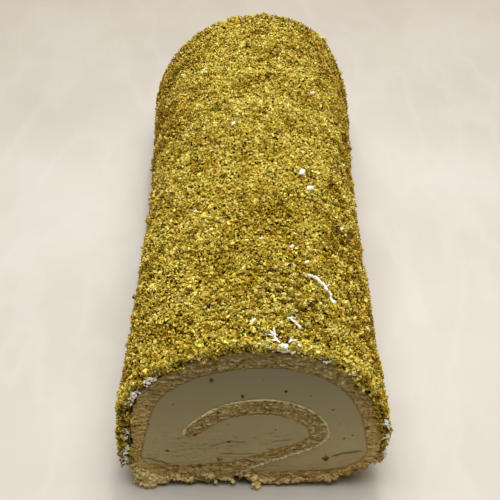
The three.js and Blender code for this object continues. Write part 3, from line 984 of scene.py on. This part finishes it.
def make_cream_film(material):
    """The film of cream under the crumbs, which comes forward only where cream shows."""
    share, y_share = grid_shares(FILM_COLUMNS, FILM_ROWS)
    nominal = NEAR_CUT + ROLL_LENGTH * y_share
    start = cream_edge(nominal, 173)
    along = start + (CREAM_ARCH.width - start - cream_edge(nominal, 175)) * share
    showing = patch_share(along + CREAM_ARCH_START, np.maximum(nominal, NEAR_CUT + 0.6))
    recess = 1.3 - 1.6 * showing + 0.4 * noise((along, y_share, 0), 2.5, 171)
    y = (NEAR_CUT + recess) + (ROLL_LENGTH - 2.2 - recess) * y_share
    bare = smoothstep(np.minimum(along, CREAM_ARCH.width - along), 11, 7)
    waves = noise((along, y, 0), 3, 172) + noise((along, y, 0), 1.8, 177)
    thickness = CREAM_THICKNESS - 0.15 + (0.05 + 0.3 * bare) * waves
    foot = np.clip(np.minimum(share, 1 - share) * 30, 0, 1)
    top = CREAM_ARCH.point(along, y, GAP + 0.1 + thickness * np.sqrt(foot))
    bottom = CREAM_ARCH.point(along, y, 0.05)
    film = new_shells("cream_film_skin", [(top, bottom, FILM_COLUMNS, FILM_ROWS)], material, "cream")
    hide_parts("cream_film")


def tapered_strands(lines):
    """Closed tapered tubes along (n, 3) lines, with a radius for each of their points."""
    points = []
    faces = []
    count = 0
    turn = np.linspace(0, 2 * np.pi, STRAND_SIDES, endpoint=False)[None, :, None]
    for line, radius in lines:
        along = unit(np.gradient(line, axis=0))
        side = unit(np.cross(along, (0.3, 0.2, 1.0)))
        up = np.cross(side, along)
        ring = side[:, None] * np.cos(turn) + up[:, None] * np.sin(turn)
        points.append((line[:, None] + ring * radius[:, None, None]).reshape(-1, 3))
        points.append(line[[0, -1]] + along[[0, -1]] * radius[[0, -1], None] * [[-0.7], [0.7]])
        rings = count + np.arange(len(line) * STRAND_SIDES).reshape(-1, STRAND_SIDES)
        count += rings.size
        faces.append(halved(ring_walls(rings)))
        for end, tip in ((rings[0, ::-1], count), (rings[-1], count + 1)):
            faces.append(np.stack([end, np.roll(end, -1), np.full(STRAND_SIDES, tip)], axis=1))
        count += 2
    return np.concatenate(points), np.concatenate(faces)


# Pulled cream over the crumbs: its route as x, y, its radius at both ends, and its height over the coat.
CREAM_STRANDS = (
    (((7.8, -127.2), (8.6, -128.6), (9.4, -129.8)), 0.45, 0.55, -0.3),
    (((8.6, -130.6), (10.2, -131.0), (11.8, -131.3)), 0.4, 0.9, -1.0),
    (((12.8, -129.4), (13.2, -128.4), (13.9, -128.0)), 0.4, 0.6, -0.2),
    (((10.2, -130.0), (12.4, -130.6)), 0.4, 0.5, -0.6),
    (((8.6, -128.2), (6.4, -129.6), (4.6, -130.3)), 0.4, 0.1, -0.1),
    (((8.1, -127.2), (6.7, -125.3), (5.2, -123.9)), 0.34, 0.1, 0.0),
    (((8.1, -127.0), (7.6, -124.2), (7.7, -122.0)), 0.34, 0.1, 0.1),
    (((7.2, -127.0), (4.1, -126.6), (2.6, -126.3)), 0.24, 0.08, 0.1),
    (((9.6, -127.6), (10.8, -126.9)), 0.3, 0.1, 0.1),
    (((13.4, -127.8), (14.4, -126.2), (14.9, -124.9)), 0.32, 0.1, 0.0),
    (((13.8, -128.4), (15.6, -128.8)), 0.35, 0.12, 0.1),
    (((15.4, -130.4), (16.8, -130.9)), 0.25, 0.35, -0.4),
    (((1.7, -130.5), (3.1, -130.9)), 0.4, 0.4, -0.3),
    (((12.4, -116.5), (13.9, -118.8), (16.8, -121.9)), 0.25, 0.6, 0.3),
    (((13.7, -117.7), (15.5, -116.0)), 0.3, 0.15, 0.35),
    (((20.2, -88.6), (22.6, -88.0), (24.8, -89.2), (26.9, -90.7), (28.1, -93.9)), 0.7, 0.75, -0.15),
    (((28.3, -94.6), (28.8, -96.0)), 0.35, 0.3, -0.1),
    (((28.6, -96.6), (29.5, -98.2), (30.4, -99.5)), 0.45, 0.85, -0.1),
    (((24.4, -89.0), (25.9, -87.6)), 0.4, 0.12, 0.2), (((27.2, -91.4), (28.9, -91.0)), 0.4, 0.12, 0.2),
    (((6.0, -89.0), (7.8, -88.1), (9.4, -87.3), (10.6, -86.4)), 0.2, 0.6, 0.1),
    (((15.0, -72.5), (16.1, -71.4)), 0.7, 0.8, -0.2), (((20.4, -80.8), (21.6, -79.9)), 0.6, 0.6, -0.1),
    (((-0.6, -118.9), (1.0, -118.3)), 0.65, 0.75, 0.0), (((3.1, -68.9), (4.2, -68.1)), 0.5, 0.5, 0.0),
    (((21.4, -17.6), (22.6, -15.0)), 1.2, 1.5, -0.4), (((24.2, -27.2), (26.2, -25.2)), 1.2, 1.2, -0.4),
    (((36.0, -46.8), (37.1, -45.8)), 0.5, 0.6, 0.0), (((42.6, -99.8), (43.6, -98.8)), 0.4, 0.5, 0.0),
    (((-24.9, -40.7), (-24.0, -39.9)), 0.4, 0.5, 0.0), (((-9.6, 21.4), (-8.2, 22.6)), 0.8, 0.9, -0.3),
    (((30.4, 60.2), (31.4, 61.8)), 0.7, 0.8, -0.2), (((-26.9, 83.6), (-25.2, 84.3)), 0.8, 0.8, -0.3),
)

# Cream in the coat's section at the near cut: x, z, half length along the edge, number of peaks.
RIM_CREAM = (
    (-38.4, 61.6, 1.9, 16), (-39.8, 59.0, 1.6, 8), (-44.6, 54.0, 2.2, 16), (-47.6, 49.0, 1.6, 6),
    (-50.2, 40.5, 1.8, 8), (-51.2, 31.5, 2.4, 12), (-51.2, 22.5, 2.8, 18), (-49.8, 16.0, 2.0, 12),
    (50.9, 29.4, 2.2, 10), (50.4, 38.0, 1.8, 7), (50.6, 21.4, 1.8, 10), (10.5, 76.0, 4.2, 12),
    (26.6, 72.0, 2.2, 7), (37.0, 62.5, 1.6, 4), (-20.0, 72.0, 1.0, 3),
)


def wobbly(rng, rows, first_radius, last_radius, lift):
    """A pulled strand of cream over the coat."""
    rows = np.array(rows, float)
    place = np.linspace(0, len(rows) - 1, 4 * len(rows))
    x = np.interp(place, np.arange(len(rows)), rows[:, 0])
    y = np.interp(place, np.arange(len(rows)), rows[:, 1]) + rng.normal(0, 0.1, len(place))
    along = arch_length_at(x) + rng.normal(0, 0.1, len(x))
    height = COAT_BASE + coat_thickness(along) + np.maximum(coat_relief(along, y), -0.5)
    radius = np.interp(place, (0, len(rows) - 1), (first_radius, last_radius))
    return CRUMB_ARCH.point(along, y, height + lift), radius * rng.uniform(0.75, 1.25, len(x))


def rim_peaks(rng):
    """Short pulled peaks of cream that show between sponge and crumbs at the near cut."""
    lines = []
    for x, z, half_length, count in RIM_CREAM:
        away = np.hypot(*(CRUMB_ARCH.face + (CENTRE_X, 0) - (x, z)).T)
        nearest = int(np.argmin(away))
        centre = CRUMB_ARCH.length[nearest] + min(z - CRUMB_ARCH.face[nearest, 1], 0)
        for _ in range(count):
            share = np.linspace(0, 1, 5)
            along = centre + rng.uniform(-half_length, half_length) + rng.normal(0, 1.0) * share
            height = rng.uniform(0.2, 2.2) + rng.uniform(0.4, 1.8) * share
            y = NEAR_CUT + rng.uniform(-1.0, 0.3) - rng.uniform(0, 1.2) * share
            radius = rng.uniform(0.22, 0.55) * (1.15 - share)
            lines.append((CRUMB_ARCH.point(along, y, height), radius))
    return lines


def make_cream_patches(material):
    """Pulled-up cream with sharp little peaks where the crumbs leave it bare."""
    rng = np.random.default_rng(320)
    lines = rim_peaks(rng)
    for strand in CREAM_STRANDS:
        line, radius = wobbly(rng, *strand)
        lines.append((line, radius))
        for _ in range(SPURS):
            start = line[rng.integers(len(line))]
            turn = rng.normal(0, 1, 3)
            turn[2] = abs(turn[2]) * 0.6
            spur = start + unit(turn) * np.linspace(0, rng.uniform(0.5, 1.7), 4)[:, None]
            lines.append((spur, 0.5 * radius.mean() * np.linspace(1, 0.25, 4)))
    rough = new_object("cream_strands", *tapered_strands(lines), material, "cream")
    facing_out(rough)
    points, normals, faces = remeshed(rough, CREAM_VOXEL)
    whipped = noise(points, 0.9, 181) + 0.5 * noise(points, 0.45, 182)
    new_object("cream_patches", points + normals * 0.2 * whipped[:, None], faces, material, "cream")


# ---- Torn sponge along the underside ----

# Clumps of torn crumb at the near cut: x, z, half sizes along x and z, how far it stands out, count.
TORN_CLUMPS = (
    (-45.0, 5.6, 3.4, 4.4, 1.0, 170), (-41.4, 3.6, 3.4, 3.2, 2.0, 230), (-36.8, 4.2, 2.2, 2.2, 1.0, 90),
    (-43.0, 1.6, 2.4, 1.2, 2.4, 70), (-31.5, 5.4, 2.2, 1.6, 0.6, 60), (-27.6, 4.6, 1.8, 1.8, 0.6, 56),
    (-24.6, 3.6, 0.8, 1.3, 0.8, 18), (-17.6, 6.4, 2.6, 1.5, 0.5, 60), (-15.4, 3.2, 0.6, 1.2, 0.6, 12),
    (-10.6, 4.6, 1.4, 1.2, 0.6, 30), (-8.4, 2.8, 0.6, 1.3, 0.9, 14), (1.0, 4.6, 1.2, 1.6, 1.4, 34),
    (0.6, 1.6, 0.7, 1.5, 3.0, 26), (1.8, 0.7, 1.2, 0.5, 3.4, 18), (5.6, 3.2, 2.6, 1.5, 0.7, 80),
    (-4.2, 6.6, 2.6, 0.9, 0.4, 46),
    (12.0, 3.2, 3.4, 1.5, 0.7, 100), (18.6, 3.6, 3.2, 1.3, 0.6, 80), (25.0, 4.4, 3.2, 1.3, 0.6, 84),
    (30.6, 4.6, 2.2, 1.4, 0.6, 56), (33.4, 5.6, 1.0, 1.2, 0.6, 16), (38.6, 8.4, 2.6, 1.2, 0.4, 50),
    (43.4, 10.8, 2.4, 1.4, 0.4, 60), (47.4, 15.0, 1.6, 1.6, 0.5, 34), (50.2, 16.2, 1.6, 2.4, 0.6, 60),
    (-48.0, 11.6, 1.2, 3.2, 0.4, 46), (51.2, 18.4, 1.3, 1.5, 1.0, 60),
)
BROWN_FROM = (34, 39)             # x from which the torn edge stays brown
SPONGE_VOXEL = 0.25


def crumb_lump(rng, subdivisions):
    """One soft torn crumb about 1 across, bumpy all over."""
    work = bmesh.new()
    bmesh.ops.create_icosphere(work, subdivisions=subdivisions, radius=0.5)
    vertices, triangles = arrays_of(work)
    seed = int(rng.integers(1000))
    bumps = 1 + 0.5 * noise(vertices, 0.45, seed) + 0.25 * noise(vertices, 0.2, seed + 1)
    return vertices * bumps[:, None], triangles


def make_torn_crumbs(material):
    """Clumps of torn crumb that hang from the cut's lower edge, joined into one ragged mass."""
    rng = np.random.default_rng(300)
    places = []
    sizes = []
    for x, z, half_x, half_z, out, count in TORN_CLUMPS:
        turn = rng.uniform(0, 2 * np.pi, count)
        reach = np.sqrt(rng.uniform(0, 1, count))
        px = x + half_x * reach * np.cos(turn)
        pz = z + half_z * reach * np.sin(turn)
        forward = out * np.sqrt(1 - reach ** 2) * rng.uniform(0.2, 1, count)
        y = NEAR_CUT - forward + rng.uniform(0.2, 2.4, count)
        size = 0.8 + 1.5 * rng.uniform(0, 1, count) ** 1.6
        sizes.append(size[:, None] * rng.uniform(0.45, 1.7, (count, 3)))
        places.append(stack(px, y, np.maximum(pz, 0.35 * size)))
    places, sizes = np.concatenate(places), np.concatenate(sizes)
    lumps = scatter("torn_lumps", rng, places, sizes, 8, material, "sponge", 30)
    points, normals, faces = remeshed(lumps, SPONGE_VOXEL)
    pores = smoothstep(noise(points, 0.85, 333), 0.25, 0.65)
    out = 0.3 * ridged(points, 1.2, 331) ** 3 + 0.25 * ridged(points, 0.5, 332) ** 2 - 0.5 * pores - 0.1
    points += normals * out[:, None]
    points[:, 2] = np.maximum(points[:, 2], 0.03)
    torn = new_object("torn_sponge", points, faces, material, "sponge")
    brown = np.interp(points[:, 0], BROWN_FROM, (0, 1)) * smoothstep(points[:, 2], 13.5, 11.5)
    right = 0.6 * smoothstep(points[:, 0], 2, 12)
    # The tint runs browner where the surface lies low (less out): painted shade in the hollows.
    give_attribute(torn, "tint", 0.35 + right + 0.35 * noise(points, 5, 334) - 0.9 * out + 0.7 * brown)


# ---- Nut bits in the ice cream ----

# Nut bits that show at the cut: x, z, size, tint from dark brown to green.
ICE_SPECKS = (
    (-15.4, 60.9, 2.3, 0.3), (-4.2, 51.8, 1.5, 0.0), (12.5, 54.5, 1.5, 0.0), (-40.5, 36.3, 1.2, 0.4),
    (-9.5, 26.5, 1.6, 0.2), (35.8, 28.3, 1.2, 0.6), (39.3, 30.0, 1.1, 0.1), (-13.2, 15.9, 2.4, 0.6),
    (-21.3, 12.3, 2.1, 0.25), (29.5, 17.1, 3.9, 0.5), (28.9, 16.2, 2.6, 0.3), (-34.2, 21.2, 1.3, 0.3),
    (4.0, 60.6, 0.9, 0.7), (22.0, 52.0, 0.9, 0.4), (31.0, 44.5, 1.1, 0.2), (-30.6, 47.4, 0.9, 0.6),
    (-22.6, 30.0, 0.9, 0.5), (8.9, 33.0, 0.9, 0.3), (-39.1, 26.2, 0.9, 0.8), (34.0, 36.6, 0.8, 0.5),
    (-9.6, 36.2, 0.8, 0.2), (-16.8, 12.6, 1.9, 0.6),
)


def make_specks(material):
    """The nut bits that the near cut laid open."""
    x, z, size, tint = np.array(ICE_SPECKS).T
    rng = np.random.default_rng(310)
    places = stack(x, NEAR_CUT + 0.3 + 0.24 * size, z)
    scatter("ice_specks", rng, places, 0.95 * size, 2, material, "nut_crumbs", 10, crumb_lump, tint)


# ---- Materials ----


def linear(red, green, blue):
    """A colour given from 0 to 255 as on screen, in linear numbers."""
    share = np.array([red, green, blue]) / 255
    low = share / 12.92
    high = ((share + 0.055) / 1.055) ** 2.4
    return (*np.where(share <= 0.04045, low, high), 1.0)


BLACK = (0, 0, 0)
WHITE = (255, 255, 255)
MIX_INPUTS = (0, 6, 7)            # the Mix node's factor and its two colours
MIX_OUTPUT = 2


class Look:
    """A Principled material with a few helpers to build its nodes."""

    def __init__(self, name):
        self.material = bpy.data.materials.new(name)
        self.material.use_nodes = True
        self.nodes = self.material.node_tree.nodes
        self.links = self.material.node_tree.links
        self.shader = self.nodes["Principled BSDF"]
        self.place = self.nodes.new("ShaderNodeTexCoord").outputs["Object"]

    def set(self, **values):
        for name, value in values.items():
            self.shader.inputs[name.replace("_", " ")].default_value = value

    def add(self, kind, **settings):
        node = self.nodes.new(kind)
        for name, value in settings.items():
            setattr(node, name, value)
        return node

    def noise(self, scale, detail=3.0, stretch=None):
        """Noise from 0 to 1, with features of 1 / scale metres."""
        source = self.place
        if stretch:
            mapping = self.add("ShaderNodeMapping")
            mapping.inputs["Scale"].default_value = stretch
            self.links.new(source, mapping.inputs["Vector"])
            source = mapping.outputs["Vector"]
        node = self.add("ShaderNodeTexNoise")
        node.inputs["Scale"].default_value = scale
        node.inputs["Detail"].default_value = detail
        self.links.new(source, node.inputs["Vector"])
        return node.outputs["Fac"]

    def along(self, axis):
        """The place along one of the roll's axes, in metres."""
        node = self.add("ShaderNodeSeparateXYZ")
        self.links.new(self.place, node.inputs["Vector"])
        return node.outputs[axis]

    def attribute(self, name):
        return self.add("ShaderNodeAttribute", attribute_name=name).outputs["Fac"]

    def ramp(self, fac, *stops):
        """A colour ramp from (place, colour) stops."""
        node = self.add("ShaderNodeValToRGB")
        elements = node.color_ramp.elements
        while len(elements) < len(stops):
            elements.new(0.5)
        for element, (place, colour) in zip(elements, stops):
            element.position = place
            element.color = linear(*colour)
        self.links.new(fac, node.inputs["Fac"])
        return node.outputs["Color"]

    def mix(self, fac, first, second, how="MIX"):
        """Two colours mixed, each given from 0 to 255 or as a socket."""
        node = self.add("ShaderNodeMix", data_type="RGBA", blend_type=how)
        for value, number in zip((fac, first, second), MIX_INPUTS):
            if isinstance(value, bpy.types.NodeSocket):
                self.links.new(value, node.inputs[number])
            else:
                node.inputs[number].default_value = linear(*value) if isinstance(value, tuple) else value
        return node.outputs[MIX_OUTPUT]

    def turned(self, tone, value, low, high, most, colour):
        """A tone that turns to a colour, or by a share of it, as a value goes from low to high."""
        node = self.add("ShaderNodeMapRange")
        for name, number in (("From Min", low), ("From Max", high), ("To Max", most)):
            node.inputs[name].default_value = number
        self.links.new(value, node.inputs["Value"])
        return self.mix(node.outputs["Result"], tone, colour)

    def bump(self, height, strength, distance):
        node = self.add("ShaderNodeBump")
        node.inputs["Strength"].default_value = strength
        node.inputs["Distance"].default_value = distance
        self.links.new(height, node.inputs["Height"])
        self.links.new(node.outputs["Normal"], self.shader.inputs["Normal"])

    def colour(self, socket):
        self.links.new(socket, self.shader.inputs["Base Color"])


def sponge_look():
    look = Look("sponge_crumb")
    crumb = look.noise(1100, 3)
    tone = look.ramp(crumb, (0.3, (145, 123, 70)), (0.5, (168, 146, 88)), (0.7, (192, 172, 114)))
    # Darker towards the top of the cut face: painted shade under the crumbs' overhanging rim.
    tone = look.turned(tone, look.along("Z"), 0.048, 0.070, 0.7, (154, 134, 82))
    browned = look.mix(look.noise(420), (150, 102, 46), (188, 144, 84))
    for mark, low, high, most, colour in (
        ("low", 0, 1, 0.6, (190, 152, 84)),
        ("sides", 0, 1, 0.8, (216, 184, 112)),
        # Standing fibres lighter and deep pores darker by depth: painted highlight and painted shade.
        ("pit", 0.35, -0.15, 1, (220, 202, 150)),
        ("pit", 0.45, 1.0, 1, (118, 93, 42)),
        ("skin", 0.15, 0.9, 0.8, browned),
        ("rim", 0.1, 1.0, 0.58, (228, 214, 166)),
    ):
        tone = look.turned(tone, look.attribute(mark), low, high, most, colour)
    look.colour(tone)
    look.bump(look.noise(2600, 4), 0.5, 0.0004)
    look.set(Roughness=0.9, Specular_IOR_Level=0.2, Subsurface_Weight=0.12, Subsurface_Scale=0.002)
    return look.material


def torn_look():
    look = Look("torn_sponge_crumb")
    tone = look.ramp(look.noise(700, 4), (0.3, (206, 180, 112)), (0.7, (242, 224, 164)))
    look.colour(look.turned(tone, look.attribute("tint"), 0.3, 1.1, 0.9, (164, 124, 58)))
    look.bump(look.noise(2600, 4), 0.6, 0.0005)
    look.set(Roughness=0.9, Specular_IOR_Level=0.2, Subsurface_Weight=0.15, Subsurface_Scale=0.002)
    return look.material


def ice_cream_look():
    look = Look("pistachio_ice_cream")
    tone = look.ramp(look.noise(45, 3), (0.3, (170, 155, 106)), (0.7, (179, 165, 116)))
    tone = look.turned(tone, look.noise(260, 4, (0.8, 1, 1)), 0.5, 0.85, 0.7, (171, 152, 100))
    # Darker towards the top of the face: painted shade under the coat's overhang.
    tone = look.turned(tone, look.along("Z"), 0.022, 0.062, 1, (137, 128, 92))
    tone = look.turned(tone, look.attribute("smear"), 0, 1, 0.7, (176, 144, 86))
    # Darker the deeper the face lies in grooves and pits: painted shade.
    look.colour(look.turned(tone, look.attribute("groove"), 0.14, 0.8, 1, (124, 104, 54)))
    look.bump(look.noise(1500, 3, (0.7, 1, 1)), 0.25, 0.0002)
    look.set(Roughness=0.55, Subsurface_Weight=0.2, Subsurface_Scale=0.002)
    return look.material


def cream_look():
    look = Look("whipped_cream")
    look.colour(look.ramp(look.noise(400), (0.3, (232, 228, 214)), (0.7, (250, 248, 240))))
    look.bump(look.noise(1800, 3), 0.3, 0.0002)
    look.set(Roughness=0.45, Subsurface_Weight=0.25, Subsurface_Scale=0.002)
    return look.material


def nut_look(name, middle, *tones):
    """Chopped nut: each crumb takes its tone from its own tint, with fine mottling."""
    look = Look(name)
    tone = look.ramp(look.attribute("tint"), *zip((0, middle, 1), tones))
    mottle = look.ramp(look.noise(1400, 2), (0.3, (205, 195, 170)), (0.55, WHITE))
    look.colour(look.mix(0.7, tone, mottle, "MULTIPLY"))
    look.bump(look.noise(3000, 2), 0.3, 0.0003)
    look.set(Roughness=0.65, Specular_IOR_Level=0.25, Subsurface_Weight=0.2, Subsurface_Scale=0.0015)
    return look.material


def bed_look():
    look = Look("crumb_bed")
    # The bed runs darker than the loose crumbs and has black pits: painted shade in the gaps between crumbs.
    tone = look.ramp(look.attribute("tint"), (0, (90, 62, 0)), (0.5, (160, 130, 16)), (1, (210, 186, 64)))
    pits = look.ramp(look.noise(760, 3), (0.43, WHITE), (0.53, BLACK))
    look.colour(look.mix(pits, tone, (24, 8, 0)))
    look.bump(look.noise(1300, 4), 1.0, 0.0012)
    look.set(Roughness=0.9, Specular_IOR_Level=0.1)
    return look.material


# The place of the middle tone, and a dark, a middle and a light one.
NUT_TONES = {
    "crumbs_gold_coarse": (0.5, (130, 98, 0), (206, 175, 38), (246, 229, 124)),
    "crumbs_gold_mid": (0.5, (122, 90, 0), (200, 168, 34), (243, 223, 114)),
    "crumbs_gold_fine": (0.5, (128, 96, 0), (204, 174, 42), (246, 229, 124)),
    "crumbs_olive_coarse": (0.5, (84, 62, 0), (142, 122, 12), (202, 184, 60)),
    "crumbs_green_fine": (0.6, (82, 84, 0), (130, 138, 20), (184, 192, 66)),
    "crumbs_toasted": (0.5, (130, 74, 0), (186, 126, 24), (224, 174, 70)),
    "crumbs_skins": (0.5, (34, 14, 0), (66, 40, 0), (110, 80, 12)),
    "ice_specks": (0.5, (56, 42, 14), (114, 86, 26), (150, 134, 40)),
    "clump_crumbs": (0.5, (96, 84, 0), (182, 160, 38), (242, 226, 132)),
}


def floor_look():
    look = Look("pale_floor")
    clouds = look.noise(9, 5)
    near = look.ramp(clouds, (0.32, (186, 181, 174)), (0.5, (192, 187, 178)), (0.68, (197, 193, 186)))
    vein = look.ramp(look.noise(26, 7, (1, 0.4, 1)), (0.44, BLACK), (0.5, WHITE), (0.56, BLACK))
    near = look.turned(near, vein, 0, 1, 0.3, (201, 197, 191))
    # Farther back the floor turns darker and warmer: painted shade for the light's falloff.
    far = look.mix(1.0, near, (228, 213, 191), "MULTIPLY")
    look.colour(look.turned(near, look.along("Y"), 0.1, 0.6, 1, far))
    look.set(Roughness=0.6)
    return look.material


FLOOR_HALF = 3.0                  # metres

# Name, place, size of each side, power and colour of the lights, which all point at the roll.
LIGHTS = (
    ("softbox_above", (0.04, -0.04, 1.0), 1.0, 16.6, (1.0, 0.98, 0.95)),
    ("window_behind", (0.3, 3.2, 2.7), 0.35, 46.0, (1.0, 0.98, 0.94)),
)
WORLD_COLOUR = (1.0, 0.93, 0.82, 1)
WORLD_STRENGTH = 0.065


# ---- Stage ----


def make_floor():
    mesh = bpy.data.meshes.new("floor")
    corners = [(x * FLOOR_HALF, y * FLOOR_HALF, 0) for x, y in ((-1, -1), (1, -1), (1, 1), (-1, 1))]
    mesh.from_pydata(corners, [], [(0, 1, 2, 3)])
    mesh.materials.append(floor_look())
    floor = bpy.data.objects.new("floor", mesh)
    bpy.context.scene.collection.objects.link(floor)


def make_light(name, place, size, power, colour):
    light = bpy.data.lights.new(name, "AREA")
    light.shape = "RECTANGLE"
    light.size = size
    light.size_y = size
    light.energy = power
    light.color = colour
    holder = bpy.data.objects.new(name, light)
    holder.location = place
    holder.rotation_euler = (-Vector(place)).to_track_quat("-Z", "Y").to_euler()
    bpy.context.scene.collection.objects.link(holder)


def make_world():
    world = bpy.data.worlds.new("pale_room")
    world.use_nodes = True
    background = world.node_tree.nodes["Background"]
    background.inputs["Color"].default_value = WORLD_COLOUR
    background.inputs["Strength"].default_value = WORLD_STRENGTH
    bpy.context.scene.world = world


CAMERA_PLACE = (0.00004, -0.43860, 0.36835)
CAMERA_DOWN = math.radians(38.54)
CAMERA_LENS = 82.8
CAMERA_SENSOR = 36
CAMERA_SHIFT = -0.006             # the roll lies 3 pixels right of the frame's middle


def make_camera():
    camera = bpy.data.cameras.new("camera")
    camera.lens = CAMERA_LENS
    camera.sensor_width = CAMERA_SENSOR
    camera.shift_x = CAMERA_SHIFT
    camera.clip_start = 0.01
    holder = bpy.data.objects.new("camera", camera)
    holder.location = CAMERA_PLACE
    holder.rotation_euler = (math.pi / 2 - CAMERA_DOWN, 0, 0)
    bpy.context.scene.collection.objects.link(holder)
    bpy.context.scene.camera = holder


# ---- The scene ----

make_camera()
make_world()
make_floor()
for light in LIGHTS:
    make_light(*light)
cream = cream_look()
crumb_looks = {name: nut_look(name, *stops) for name, stops in NUT_TONES.items()}
make_sponge(sponge_look())
torn_sponge = torn_look()
make_torn_crumbs(torn_sponge)
make_sponge_skin(torn_sponge)
make_ice_cream(ice_cream_look())
make_specks(crumb_looks["ice_specks"])
make_cream_film(cream)
make_cream_patches(cream)
make_coat_base(bed_look())
make_crumbs(crumb_looks)
make_clumps(crumb_looks["clump_crumbs"])
bpy.context.scene.view_settings.view_transform = "Standard"
